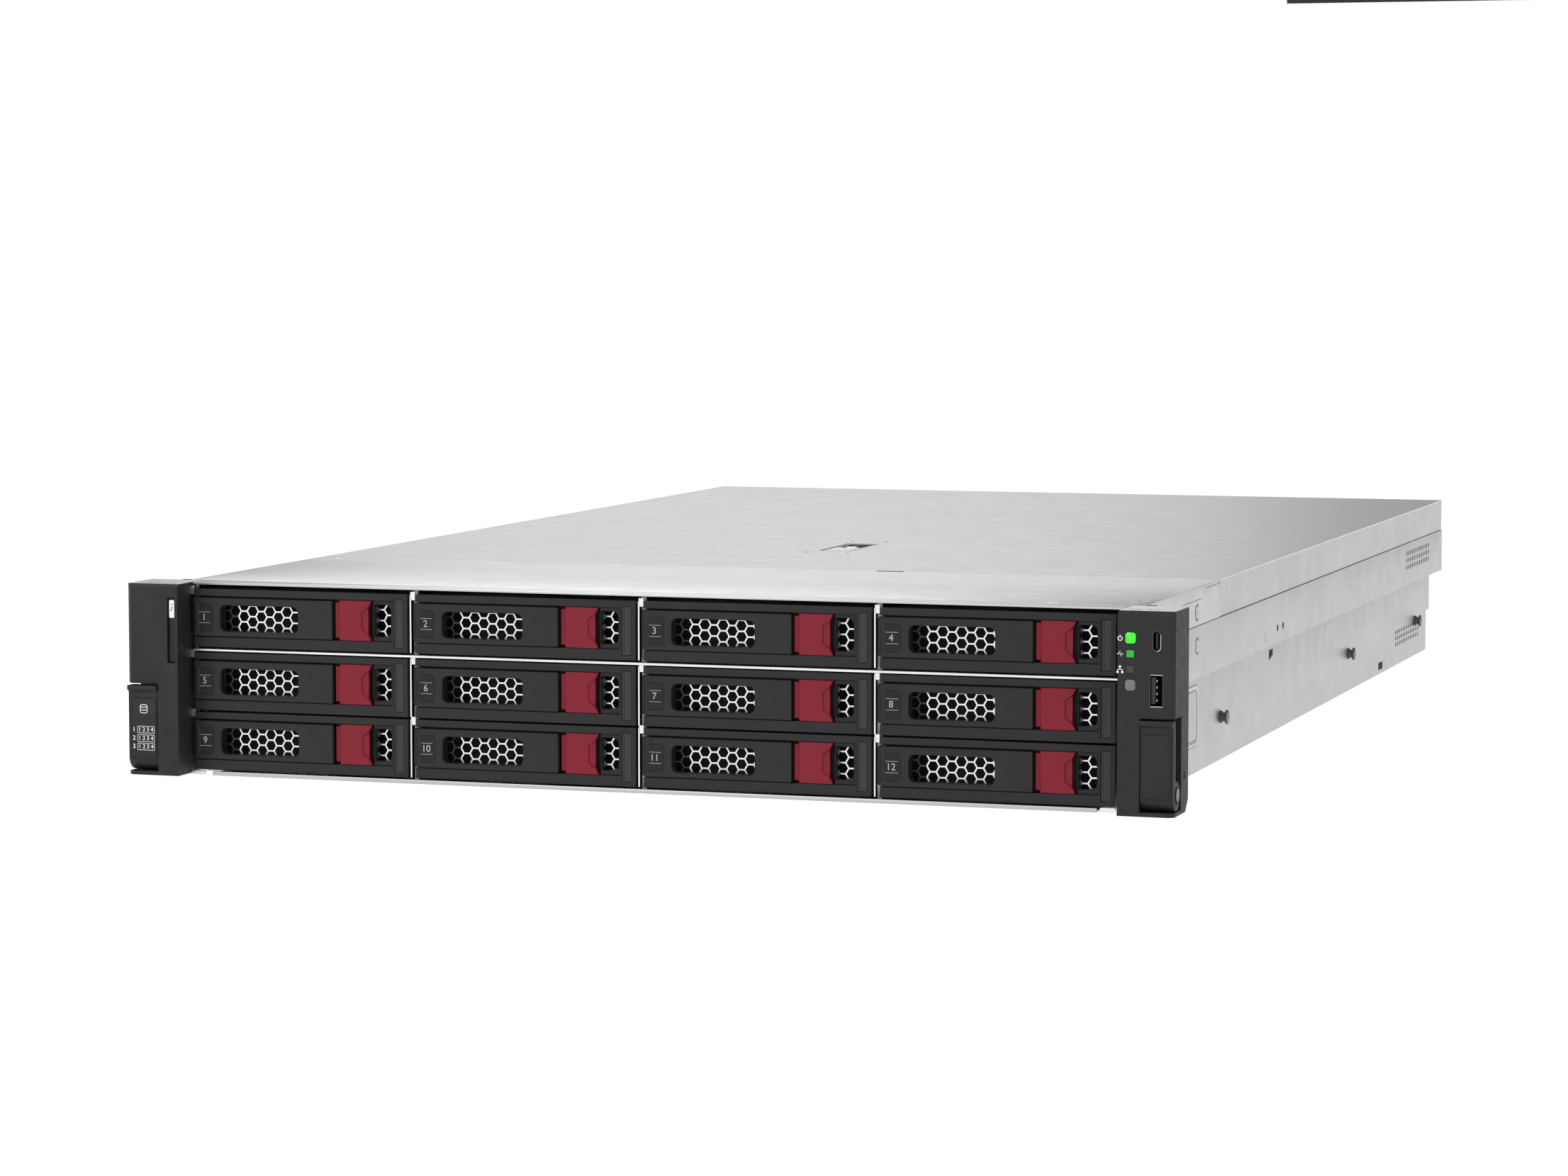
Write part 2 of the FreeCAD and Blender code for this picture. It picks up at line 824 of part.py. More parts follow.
def drive_cage():
    """The riveted cage: top cover, side plates, dividers with ledges, and one shelf."""
    roof_end = "hood_front - hood_gap"
    under = "body_top - sheet"
    pieces = [
        box("cage_roof", ("-shoulder_half_width", "shoulder_half_width"), ("0 * sheet", roof_end),
            (under, "body_top")),
        box("cage_brow", ("tab_gap - ear_inner_left", "ear_inner_right - tab_gap"), ("-cover_reach", "sheet"),
            (under, "body_top")),
    ]
    for name, low, high in (
        ("left", "-shoulder_half_width", "sheet - shoulder_half_width"),
        ("right", "shoulder_half_width - sheet", "shoulder_half_width"),
    ):
        pieces.append(box("cage_skirt_" + name, (low, high), ("0 * sheet", roof_end), ("skirt_level", under)))
    for name, low, high in (
        ("left", "-tray_half_width", "sheet - tray_half_width"),
        ("right", "tray_half_width - sheet", "tray_half_width"),
    ):
        pieces.append(box("cage_side_" + name, (low, high), ("-flange_front", "cage_length"),
                          ("shoulder_level + sheet", under)))
    pieces.append(box("cage_shelf", ("sheet - tray_half_width", "tray_half_width - sheet"),
                      ("-frame_front", "cage_length"), ("shelf_level", "shelf_level + shelf_thick")))
    pieces.append(box("left_flange", ("tab_gap - ear_inner_left", cell("divider_offset + flange_width")),
                      ("-flange_front - sheet", "-flange_front"), ("sheet", under)))
    for column in range(1, COLUMNS):
        start = cell("divider_offset", column)
        pieces.append(box("divider_%d" % column, (start, start + " + sheet"), ("-flange_front", "cage_length"),
                          ("sheet", under)))
        pieces.append(box("flange_%d" % column, (start, start + " + flange_width"),
                          ("-flange_front - sheet", "-flange_front"), ("sheet", under)))
    ledges = []
    for row in ROW_LEVELS:
        height = (level("ledge_rise", row), level("ledge_rise + ledge_thick", row))
        along = ("ledge_start", "cage_length")
        for column in range(COLUMNS + 1):
            left = cell("drive_start + drive_width + running_gap", column - 1)
            right = cell("drive_start - running_gap", column)
            if column == 0:
                left = "sheet - tray_half_width"
            if column == COLUMNS:
                right = "tray_half_width - sheet"
            ledges.append(box("ledge_%s_%d" % (row, column), (left, right), along, height))
    made = fuse("cage_body", pieces + ledges)
    node("drive_cage", made)


# Hood


def access_panel():
    """The lift-off hood: a top sheet with side rails and a sunk tray for its latch welded under it."""
    half = "(shoulder_half_width - hood_inset)"
    along = ("hood_front", "body_length")
    under = "body_top - sheet"
    rim = "(0.5 * latch_width + latch_play)"
    well = rectangle(
        ("latch_centre - " + rim, "latch_centre + " + rim),
        ("latch_start - latch_play", "latch_start + latch_length + latch_play"),
    )
    top = body("hood_top_body")
    pad(top, "hood_top", "XY", (under, "body_top"), [rectangle(("-" + half, half), along)])
    pocket(top, "latch_mouth", "XY", (under + " - sheet", "body_top + sheet"), [well])

    holder = body("latch_tray_body")
    across = ("latch_centre - %s - sheet" % rim, "latch_centre + %s + sheet" % rim)
    run = ("latch_start - latch_play - sheet", "latch_start + latch_length + latch_play + sheet")
    floor = "body_top - latch_depth - latch_play * 2"
    pad(holder, "latch_tray", "XY", (floor + " - sheet", under), [rectangle(across, run)])
    pocket(holder, "latch_well", "XY", (floor, "body_top"), [well])
    bore = ("latch_centre - %s - sheet * 2" % rim, "latch_centre + %s + sheet * 2" % rim)
    round_pocket(holder, "latch_bore", "YZ", bore, latch_axis(), "latch_pin + shaft_play")

    rails = [
        box(side + "_hood_rail", mirrored(side, half + " - sheet", half), along, ("skirt_level", under))
        for side in ("left", "right")
    ]
    node("access_panel", group("access_panel_set", [top, holder] + rails))


def latch_axis():
    """Where the pin of the hood latch lies, along the body and up."""
    return ("latch_start + 0.5 * latch_depth", "body_top - latch_play + 0.2 * sheet - 0.5 * latch_depth")


def hood_latch():
    made = body("latch_body")
    base, middle = latch_axis()
    across = ("latch_centre - 0.5 * latch_width", "latch_centre + 0.5 * latch_width")
    bar = rectangle(
        ("latch_start", "latch_start + latch_length"),
        (middle + " - 0.5 * latch_depth", middle + " + 0.5 * latch_depth"),
    )
    pad(made, "latch_bar", "YZ", across, [bar])
    start = size("latch_start")
    fillet(made, "pin_end", "0.5 * latch_depth - 0.1 * sheet",
           lambda edge, middle_point: along_axis(edge, 0) and abs(middle_point.y - start) < 0.01)
    grip = rectangle(
        ("latch_start + 0.5 * latch_length", "latch_start + latch_length - latch_depth * 0.5"),
        (middle + " + 0.3 * latch_depth", middle + " + latch_depth"),
    )
    inner = ("latch_centre - 0.35 * latch_width", "latch_centre + 0.35 * latch_width")
    pocket(made, "finger_dish", "YZ", inner, [grip])
    rim = "(0.5 * latch_width + latch_play + sheet * 0.8)"
    round_pad(made, "latch_pin_shaft", "YZ", ("latch_centre - " + rim, "latch_centre + " + rim),
              (base, middle), "latch_pin")
    node("hood_latch", made)


# Ears


def ear(side):
    """One rack ear, with the recess and pivot pin of its quick-release lever."""
    made = body(side + "_ear_body")
    inner = "ear_inner_" + side
    across = mirrored(side, inner, "0.5 * rack_width")
    block = rectangle(across, ("-ear_depth", "0 * sheet"))
    pad(made, side + "_ear_block", "XY", ("ear_base", "body_top"), [block])
    # The rack plane is the rear face outside the side wall of the chassis
    seat = mirrored(side, inner + " - sheet", "shoulder_half_width + ear_seat_gap")
    pocket(made, side + "_ear_seat", "XY", ("ear_base - sheet", "body_top + sheet"),
           [rectangle(seat, ("-ear_seat_gap", "sheet"))])
    front = -size("ear_depth")
    outer = size("rack_width") / 2
    top = size("body_top")
    foot = size("ear_base")
    chamfer(made, side + "_ear_bevel", "ear_bevel",
            lambda edge, middle: abs(middle.y - front) < 0.01
            and (abs(middle.z - top) < 0.01 or abs(abs(middle.x) - outer) < 0.01))
    chamfer(made, side + "_ear_foot", "ear_foot_bevel",
            lambda edge, middle: abs(middle.y) < 0.01 and abs(middle.z - foot) < 0.01)
    ledge = rectangle(mirrored(side, inner + " - sheet", "0.5 * rack_width + sheet"),
                      ("ear_bevel - ear_depth", "sheet"))
    pocket(made, side + "_ear_ledge", "XY", ("body_top - ear_plate_thick", "body_top + sheet"), [ledge])
    recess_top = "grip_top + grip_gap * 3"
    recess_back = "grip_round + grip_gap - grip_pivot_back"
    recess = rectangle(
        mirrored(side, "0.5 * rack_width - grip_inset - grip_width - grip_gap", "0.5 * rack_width + sheet"),
        ("-ear_depth - sheet", recess_back),
    )
    recess_span = ("grip_pivot_level - grip_round - grip_gap", recess_top)
    pocket(made, side + "_grip_recess", "XY", recess_span, [recess])
    pin_end = "0.5 * rack_width - grip_inset"
    pin = mirrored(side, pin_end + " - grip_width - sheet", pin_end)
    round_pad(made, side + "_grip_pin", "YZ", pin, ("-grip_pivot_back", "grip_pivot_level"), "grip_pin")
    return made


def ear_plate(side):
    """The steel top of an ear, flush with the covers."""
    across = mirrored(side, "ear_inner_" + side, "0.5 * rack_width")
    return box(side + "_ear_plate", across, ("ear_bevel - ear_depth", "-ear_seat_gap"),
               ("body_top - ear_plate_thick", "body_top"))


def grip(side):
    """The quick-release lever of one ear, with its catch, barrel and raised plate."""
    made = body(side + "_grip_body")
    span = mirrored(side, "0.5 * rack_width - grip_inset - grip_width", "0.5 * rack_width - grip_inset")
    face = "-(grip_pivot_back + grip_round)"
    profile = [
        (face, "grip_pivot_level"),
        (face + " + grip_thick", "grip_pivot_level"),
        (face + " + grip_thick", "grip_top"),
        (face + " - catch_reach", "grip_top"),
        (face + " - catch_reach", "grip_top - catch_height + sheet"),
        (face, "grip_top - catch_height"),
    ]
    pad(made, side + "_grip_arm", "YZ", span, [profile])
    round_pad(made, side + "_grip_barrel", "YZ", span, ("-grip_pivot_back", "grip_pivot_level"), "grip_round")
    tile = rectangle(
        mirrored(side, "0.5 * rack_width - grip_width + grip_inset", "0.5 * rack_width - grip_inset * 3"),
        ("plate_low", "plate_top"),
    )
    pad(made, side + "_grip_tile", "XZ", (face + " - plate_rise", face + " + sheet"), [tile])
    bore = mirrored(side, "0.5 * rack_width - grip_width - sheet * 2", "0.5 * rack_width + sheet")
    round_pocket(made, side + "_grip_bore", "YZ", bore, ("-grip_pivot_back", "grip_pivot_level"),
                 "grip_pin + shaft_play")
    node(side + "_ear_lever", made)


def left_ear():
    made = ear("left")
    slot = rectangle(
        ("-(tab_start + tab_thick + tab_gap)", "-(tab_start - tab_gap)"),
        ("tab_low - tab_gap", "tab_low + tab_height + tab_gap"),
    )
    pocket(made, "tab_slot", "XZ", ("-ear_depth - sheet", "sheet"), [slot])
    node("left_ear", group("left_ear_set", [made, ear_plate("left")]))
    tab = box("information_card", ("-(tab_start + tab_thick)", "-tab_start"),
              ("tab_inset - ear_depth", "tab_inset - ear_depth + tab_length"),
              ("tab_low", "tab_low + tab_height"))
    node("information_tab", tab)


def control_shape(height, gap="0 * sheet"):
    """The outline of a button, or of its hole when a gap is given."""
    return bevelled(
        ("control_centre - 0.5 * control_width - " + gap, "control_centre + 0.5 * control_width + " + gap),
        (height + " - 0.5 * control_height - " + gap, height + " + 0.5 * control_height + " + gap),
        "control_bevel",
    )


def control(label, height):
    """A button that sinks into the right ear."""
    made = body(label + "_body")
    pad(made, label + "_cap", "XZ", ("-ear_depth - control_proud", "control_depth - ear_depth"),
        [control_shape(height)])
    node(label, made)


def right_ear():
    """The right ear holds two buttons, two lamps and two front ports."""
    made = ear("right")
    mouth = "-ear_depth - sheet"
    holes = [control_shape(height, "control_gap") for height in ("power_level", "unit_level")]
    pocket(made, "control_holes", "XZ", (mouth, "control_travel_room + control_depth - ear_depth"), holes)
    parts = [ear_plate("right")]
    for name, height in (("health", "lamp_health"), ("network", "lamp_network")):
        across = ("control_centre - 0.5 * lamp_width", "control_centre + 0.5 * lamp_width")
        upright = (height + " - 0.5 * lamp_height", height + " + 0.5 * lamp_height")
        pocket(made, name + "_hole", "XZ", (mouth, "lamp_depth - ear_depth"), [rectangle(across, upright)])
        parts.append(box(name + "_lamp", across, ("-ear_depth", "lamp_depth - ear_depth"), upright))
    for name, width, low, height, depth, tongue in (
        ("service", "service_width", "service_low", "service_height", "service_depth", "service_tongue"),
        ("usb", "usb_width", "usb_low", "usb_height", "usb_depth", "usb_tongue"),
    ):
        across = ("port_centre - 0.5 * " + width, "port_centre + 0.5 * " + width)
        upright = (low, low + " + " + height)
        mouth_shape = bevelled(across, upright, name + "_bevel")
        pocket(made, name + "_mouth", "XZ", (mouth, depth + " - ear_depth"), [mouth_shape])
        # The tongue carries the contacts, to one side in the wider port
        offset = "0.25 * " + width if name == "usb" else "0.5 * " + width
        middle = "port_centre - 0.5 * %s + %s" % (width, offset)
        parts.append(box(
            name + "_tongue_body",
            (middle + " - 0.5 * " + tongue, middle + " + 0.5 * " + tongue),
            ("port_inset - ear_depth", depth + " - ear_depth"),
            (low + " + tongue_in", low + " + %s - tongue_in" % height),
        ))
    node("right_ear", group("right_ear_set", [made] + parts))
    control("power_button", "power_level")
    control("unit_button", "unit_level")


def rail_studs():
    """Six studs for the slide rails, three on each side, each with a collar and a head."""
    studs = []
    for side in ("left", "right"):
        for spot in ("stud_first", "stud_second", "stud_third"):
            name = side + "_" + spot
            wall = "tray_half_width"
            parts = []
            for piece, radius, start, reach in (
                ("collar", "stud_collar", wall, "collar_reach"),
                ("shank", "stud_shank", wall, "stud_reach"),
                ("head", "stud_head", wall + " + stud_reach - stud_cap", "stud_cap"),
            ):
                begin = start if side == "right" else "-(%s + %s)" % (start, reach)
                parts.append(cylinder(name + "_" + piece, radius, reach, begin, spot, "stud_level", "X"))
            studs.append(fuse(name, parts))
    node("rail_studs", group("stud_set", studs))


# Drive carriers


def hexagon(x, z):
    """A flat-topped opening of the honeycomb, left open between ribs."""
    across = "(comb_side - comb_rib / 1.732)"
    tall = "%s * 0.866" % across
    return [
        ("%s - %s" % (x, across), z),
        ("%s - 0.5 * %s" % (x, across), "%s - %s" % (z, tall)),
        ("%s + 0.5 * %s" % (x, across), "%s - %s" % (z, tall)),
        ("%s + %s" % (x, across), z),
        ("%s + 0.5 * %s" % (x, across), "%s + %s" % (z, tall)),
        ("%s - 0.5 * %s" % (x, across), "%s + %s" % (z, tall)),
    ]


def honeycomb():
    """The metal grille behind the windows: two sets of hexagon columns, half a step apart."""
    made = body("honeycomb_body")
    front = "web_thick - well_floor"
    span = (front, front + " + plate_thick")
    plate = rectangle((cell("plate_start"), cell("plate_end")), (level("plate_foot"), level("plate_head")))
    pad(made, "comb_plate", "XZ", span, [plate])
    rise = "comb_side * 1.732"
    deep = (front + " - plate_thick", front + " + plate_thick * 2")
    for name, start, full, count in (
        ("odd", "comb_start", True, 5),
        ("even", "comb_start + comb_side * 1.5", False, 4),
        ("small_odd", "small_comb_start - comb_side * 1.5", True, 2),
        ("small_even", "small_comb_start", False, 1),
    ):
        across = cell(start)
        if full:
            cells = [hexagon(across, level("comb_middle + %s * (%d)" % (rise, step))) for step in (-1, 0, 1)]
        else:
            # Two whole cells, and half a cell at the foot and at the head
            cells = [hexagon(across, level("comb_middle + %s * (%s)" % (rise, step))) for step in (-0.5, 0.5)]
            cells.append(hexagon(across, level("comb_middle - %s * 1.5" % rise))[3:] +
                         hexagon(across, level("comb_middle - %s * 1.5" % rise))[:1])
            cells.append(hexagon(across, level("comb_middle + %s * 1.5" % rise))[:4])
        cut_column = pocket(made, name + "_column", "XZ", deep, cells)
        if count > 1:
            repeat(made, name + "_row", cut_column, "H_Axis", "comb_side * 3", count)
    return made


def carrier_bezel():
    """The moulded front of a carrier: bars round the lever well, a window and a lamp strip."""
    made = body("bezel_body")
    whole = rectangle(
        (cell("frame_start"), cell("frame_end")),
        (level("frame_foot"), level("frame_foot + frame_height")),
    )
    pad(made, "bezel_block", "XZ", ("-frame_front", "-frame_back"), [whole])
    well_height = (level("foot_bar + frame_foot"), level("frame_foot + frame_height - head_bar"))
    well = rectangle((cell("frame_start - sheet"), cell("well_end")), well_height)
    pocket(made, "lever_well", "XZ", ("-frame_front - sheet", "-well_floor"), [well])
    room = rectangle((cell("frame_start - sheet"), cell("plate_start - running_gap")), well_height)
    room_end = "barrel_round + running_gap - pivot_back"
    pocket(made, "barrel_room", "XZ", ("-frame_front - sheet", room_end), [room])
    shallow = rectangle((cell("well_end - sheet"), cell("recess_end")), well_height)
    pocket(made, "side_recess_cut", "XZ", ("-frame_front - sheet", "side_recess - frame_front"), [shallow])
    behind = "web_thick - well_floor"
    cavity = rectangle(
        (cell("plate_start - running_gap"), cell("plate_end + running_gap")),
        (level("plate_foot - running_gap"), level("plate_head + running_gap")),
    )
    pocket(made, "rear_cavity", "XZ", (behind, "sheet - frame_back"), [cavity])
    through = ("-frame_front - sheet", behind + " + 0.1 * sheet")
    long_window = bevelled(
        (cell("window_start"), cell("window_end + running_gap")),
        (level("window_low - running_gap"), level("window_low + window_height + running_gap")),
        "window_bevel",
    )
    small_window = bevelled(
        (cell("small_start"), cell("small_end")),
        (level("small_low"), level("small_low + small_height")),
        "window_bevel", "bc",
    )
    pocket(made, "bezel_windows", "XZ", through, [long_window, small_window])
    strip = rectangle((cell("strip_start"), cell("strip_end")), (level("strip_low"), level("strip_high")))
    pocket(made, "lamp_strip", "XZ", ("-frame_front - sheet", "strip_recess - frame_front"), [strip])
    bore = ("%s - pin_reach" % level("lever_low"), "%s + pin_reach" % level("lever_low + lever_height"))
    round_pocket(made, "pivot_bore", "XY", bore, (cell("pivot_in"), "-pivot_back"), "pivot_pin + shaft_play")
    return made


def drive_carrier():
    """One carrier: bezel, honeycomb, two side rails and the disk between them."""
    low = level("rail_low")
    high = level("rail_low + rail_height")
    run = ("-frame_back", "drive_front + drive_length")
    disk_left = cell("drive_start")
    disk_right = cell("drive_start + drive_width")
    rail = box("left_rail", (disk_left + " - rail_thick", disk_left), run, (low, high))
    thin = box("right_rail", (disk_right, disk_right + " + rail_thin"), run, (low, high))
    frame = fuse("carrier_frame", [carrier_bezel(), rail, thin])
    disk = box("hard_disk", (disk_left, disk_right), ("drive_front", "drive_front + drive_length"),
               (level("drive_lift"), level("drive_lift + drive_height")))
    return group("carrier_set", [frame, honeycomb(), disk])


def carrier_lever():
    """The ejector lever: a plate with a label recess and a window, on a barrel and pin."""
    made = body("lever_body")
    upright = (level("lever_low"), level("lever_low + lever_height"))
    face = ("-lever_front", "lever_thick - lever_front")
    plate = rectangle((cell("pivot_in"), cell("lever_end")), upright)
    pad(made, "lever_plate", "XZ", face, [plate])
    axis = (cell("pivot_in"), "-pivot_back")
    round_pad(made, "lever_barrel", "XY", upright, axis, "barrel_round")
    pin_span = (upright[0] + " - pin_reach + shaft_play * 2", upright[1] + " + pin_reach - shaft_play * 2")
    round_pad(made, "lever_pin", "XY", pin_span, axis, "pivot_pin")
    label = bevelled(
        (cell("label_start"), cell("label_end")),
        (level("label_low"), level("label_low + label_height")),
        "label_bevel", "bc",
    )
    pocket(made, "label_recess_cut", "XZ", ("-lever_front - sheet", "label_recess - lever_front"), [label])
    window = bevelled(
        (cell("window_start"), cell("window_end")),
        (level("window_low"), level("window_low + window_height")),
        "window_bevel",
    )
    through = ("-lever_front - sheet", "lever_thick - lever_front + sheet")
    pocket(made, "lever_window", "XZ", through, [window])
    left = "pivot_in - barrel_round"
    corners = []
    for height, bevel, sign in ((upright[0], "lever_foot_bevel", "+"), (upright[1], "lever_top_bevel", "-")):
        corners.append([
            (cell(left), height),
            (cell(left + " + " + bevel), height),
            (cell(left), "%s %s %s" % (height, sign, bevel)),
        ])
    corner_run = ("-lever_front - sheet", "barrel_round + sheet - pivot_back")
    pocket(made, "lever_corners", "XZ", corner_run, corners)
    return made


def carrier_button():
    """The release button: a stepped block whose free end is notched for a finger."""
    made = body("button_body")
    low, high = level("button_low"), level("button_low + button_height")
    notch = cell("button_end - button_notch")
    shape = [
        (cell("button_step"), low),
        (cell("button_end"), low),
        (notch, low + " + button_bevel"),
        (notch, high + " - button_bevel"),
        (cell("button_end"), high),
        (cell("button_step"), high),
        (cell("button_step"), high + " - sheet"),
        (cell("button_start"), high + " - sheet"),
        (cell("button_start"), low + " + sheet"),
        (cell("button_step"), low + " + sheet"),
    ]
    pad(made, "button_block", "XZ", ("button_sink - lever_front", "-button_back"), [shape])
    step_across = (cell("button_start - sheet"), cell("button_step"))
    step = rectangle(step_across, (low + " - sheet", high + " + sheet"))
    pocket(made, "button_step_cut", "XZ", ("-lever_front - sheet", "button_sink * 3 - lever_front"), [step])
    scoop = [
        (cell("button_end - button_notch - button_bevel"), low + " + button_bevel * 1.7"),
        (cell("button_end"), low + " + button_bevel"),
        (cell("button_end"), high + " - button_bevel"),
        (cell("button_end - button_notch - button_bevel"), high + " - button_bevel * 1.7"),
    ]
    pocket(made, "finger_scoop", "XZ", ("-lever_front - sheet", "button_sink * 1.8 - lever_front"), [scoop])
    return made


def drives():
    """Twelve carriers with a lever and a button each, repeated over the bays."""
    sources = (("carrier", drive_carrier()), ("lever", carrier_lever()), ("button", carrier_button()))
    for row, row_name in zip(ROW_LEVELS, ROW_NAMES):
        for column in range(COLUMNS):
            for piece, source in sources:
                label = "drive_%s_%s_%d" % (piece, row_name, column + 1)
                made = copy_of(label, source, "column_pitch * %d" % column, "0", "%s - row_low" % row)
                node(label, made)


# Inside


def fan_place(index):
    return "fan_pitch * %s" % (index - 0.5 * (FANS - 1))


def fan_frame():
    """One fan frame round the X middle: a shell with a bore, and a motor on two arms and a fixed shaft."""
    shell = body("fan_shell_body")
    rear = "fan_start + fan_depth"
    block = rectangle(("-0.5 * fan_width", "0.5 * fan_width"), ("sheet", "sheet + fan_height"))
    pad(shell, "fan_shell", "XZ", ("fan_start", rear), [block])
    axis = ("0 * sheet", "fan_level")
    round_pocket(shell, "fan_tunnel", "XZ", ("fan_start - sheet", rear + " + sheet"), axis, "fan_bore")
    made = body("fan_stator_body")
    half = "(fan_bore - stator_gap)"
    arm_span = (rear + " - arm_depth", rear)
    arm = rectangle(("-0.5 * arm_width", "0.5 * arm_width"), ("fan_level - " + half, "fan_level + " + half))
    pad(made, "upright_arm", "XZ", arm_span, [arm])
    bar = rectangle(("-" + half, half), ("fan_level - 0.5 * arm_width", "fan_level + 0.5 * arm_width"))
    pad(made, "level_arm", "XZ", arm_span, [bar])
    round_pad(made, "motor", "XZ", (rear + " - motor_length", rear), axis, "hub_round - sheet")
    round_pad(made, "fan_shaft", "XZ", ("fan_start + hub_inset", rear + " - sheet"), axis, "shaft_round")
    return group("fan_frame", [shell, made])


def fan_rotor():
    """A rotor at the origin: a hub with pitched blades that widen towards the tip."""
    made = body("rotor_body")
    ends = ("-0.5 * hub_length", "0.5 * hub_length")
    axis = ("0 * sheet", "0 * sheet")
    round_pad(made, "rotor_hub", "XZ", ends, axis, "hub_round")
    loft = made.newObject("PartDesign::AdditiveLoft", "blade")
    root = blade_section(made, "blade_root", "hub_round - sheet * 2", "0.42 * hub_length", "blade_root_rise")
    tip = blade_section(made, "blade_tip_section", "blade_tip", "0.3 * hub_length", "blade_tip_rise")
    loft.Profile = root
    loft.Sections = [tip]
    loft.Ruled = True
    doc.recompute()
    ring = made.newObject("PartDesign::PolarPattern", "blade_ring")
    ring.Originals = [loft]
    ring.Axis = (axis_of(made, "Y"), [""])
    ring.Angle = 360
    ring.Occurrences = BLADES
    made.Tip = ring
    doc.recompute()
    round_pocket(made, "rotor_bore", "XZ", ("-hub_length", "hub_length"), axis, "shaft_round + shaft_play")
    return made


def blade_section(owner, name, reach, along, rise):
    """A slanted section of a blade at one distance from the axis."""
    corners = [
        ("-" + along, "-" + rise),
        ("blade_thick - " + along, "-" + rise),
        (along, rise),
        (along + " - blade_thick", rise),
    ]
    return sketch(owner, name, "YZ", reach, [corners])


def fans():
    frame = fan_frame()
    rotor = fan_rotor()
    frames = [copy_of("fan_frame_%d" % (i + 1), frame, fan_place(i)) for i in range(FANS)]
    node("fan_housings", group("fan_frame_set", frames))
    for i in range(FANS):
        label = "fan_rotor_%d" % (i + 1)
        along = "fan_start + hub_inset + 0.5 * hub_length"
        node(label, copy_of(label, rotor, fan_place(i), along, "fan_level"))


def socket_box(name, left, width, depth, wall, opening_depth):
    """A jack shell on the board with a mouth to the rear."""
    base = board_top()
    rear = "body_length"
    shell = box(name + "_shell", (left, "%s + %s" % (left, width)), (rear + " - " + depth, rear),
                (base, base + " + jack_height"))
    mouth = box(name + "_mouth", ("%s + %s" % (left, wall), "%s + %s - %s" % (left, width, wall)),
                ("%s - %s" % (rear, opening_depth), rear + " + sheet"),
                (base + " + " + wall, "%s + jack_height - %s" % (base, wall)))
    return cut(name, shell, [mouth])


def system_board():
    """The board with its sockets, memory and rear jacks, and the backplane of the drives."""
    top = board_top()
    board = body("board_body")
    plan = [
        ("-board_half_width", "board_start"),
        ("board_half_width", "board_start"),
        ("board_half_width", "board_end - corner_length"),
        ("tray_half_width - corner_width - sheet", "board_end - corner_length"),
        ("tray_half_width - corner_width - sheet", "board_end"),
        (board_notch(), "board_end"),
        (board_notch(), "board_waist"),
        ("-board_half_width", "board_waist"),
    ]
    pad(board, "board_plate", "XY", ("sheet + board_gap", top), [plan])
    parts = [board]
    parts.append(box("backplane", ("sheet * 1.2 - tray_half_width", "tray_half_width - sheet * 1.2"),
                     ("cage_length", "cage_length + backplane_thick"), ("backplane_low", "backplane_top")))
    for name, sign in (("left", "-1"), ("right", "1")):
        middle = "%s * processor_offset" % sign
        lid = (middle + " - 0.4 * heatsink_width", middle + " + 0.4 * heatsink_width")
        parts.append(box(name + "_processor", lid,
                         ("processor_start + sheet * 5", "processor_start + heatsink_length - sheet * 5"),
                         (top, top + " + socket_height")))
        for bank, direction in (("inner", "-1"), ("outer", "1")):
            shift = "%s %s (memory_first + memory_pitch * %%d)" % (middle, "-" if direction == "-1" else "+")
            ends = sorted((0, STICKS - 1), reverse=direction == "-1")
            low_edge = (shift % ends[0]) + " - 0.5 * memory_pitch"
            high_edge = (shift % ends[1]) + " + 0.5 * memory_pitch"
            parts.append(box("%s_%s_slots" % (name, bank), (low_edge, high_edge),
                             ("memory_start", "memory_start + memory_length + sheet * 8"),
                             (top, top + " + slot_height")))
            for stick in range(STICKS):
                place_x = shift % stick
                parts.append(box("%s_%s_memory_%d" % (name, bank, stick + 1),
                                 (place_x + " - 0.5 * memory_thick", place_x + " + 0.5 * memory_thick"),
                                 ("memory_start + sheet * 4", "memory_start + sheet * 4 + memory_length"),
                                 (top + " + slot_height", top + " + slot_height + memory_height")))
    for name, start in (("video_socket", "video_start"), ("usb_pair", "usb_pair_start")):
        parts.append(box(name, (start, start + " + socket_width"), ("body_length - jack_depth", "body_length"),
                         (top, top + " + jack_height")))
    node("system_board", group("board_set", parts + heatsinks()))


def network_jacks():
    """The row of network jacks at the rear edge of the board."""
    row = [socket_box("network_jack_%d" % (jack + 1), jack_left(jack), "jack_width", "jack_depth",
                      "jack_wall", "jack_mouth") for jack in range(JACKS)]
    node("network_jacks", group("jack_set", row))


def heatsinks():
    """Two finned coolers on the processors."""
    made = body("heatsink_body")
    base = board_top() + " + socket_height"
    along = ("processor_start", "processor_start + heatsink_length")
    slab = rectangle(("-0.5 * heatsink_width", "0.5 * heatsink_width"), along)
    pad(made, "heatsink_slab", "XY", (base, base + " + heatsink_base"), [slab])
    fin = rectangle(("-0.5 * heatsink_width", "fin_thick - 0.5 * heatsink_width"), along)
    first = pad(made, "fin", "XY", (base + " + 0.5 * heatsink_base", base + " + heatsink_height"), [fin])
    spacing = "(heatsink_width - fin_thick) / %d" % (FINS - 1)
    doc.recompute()
    repeat(made, "fin_row", first, "H_Axis", spacing, FINS)
    return [
        copy_of("left_heatsink", made, "-processor_offset"),
        copy_of("right_heatsink", made, "processor_offset"),
    ]


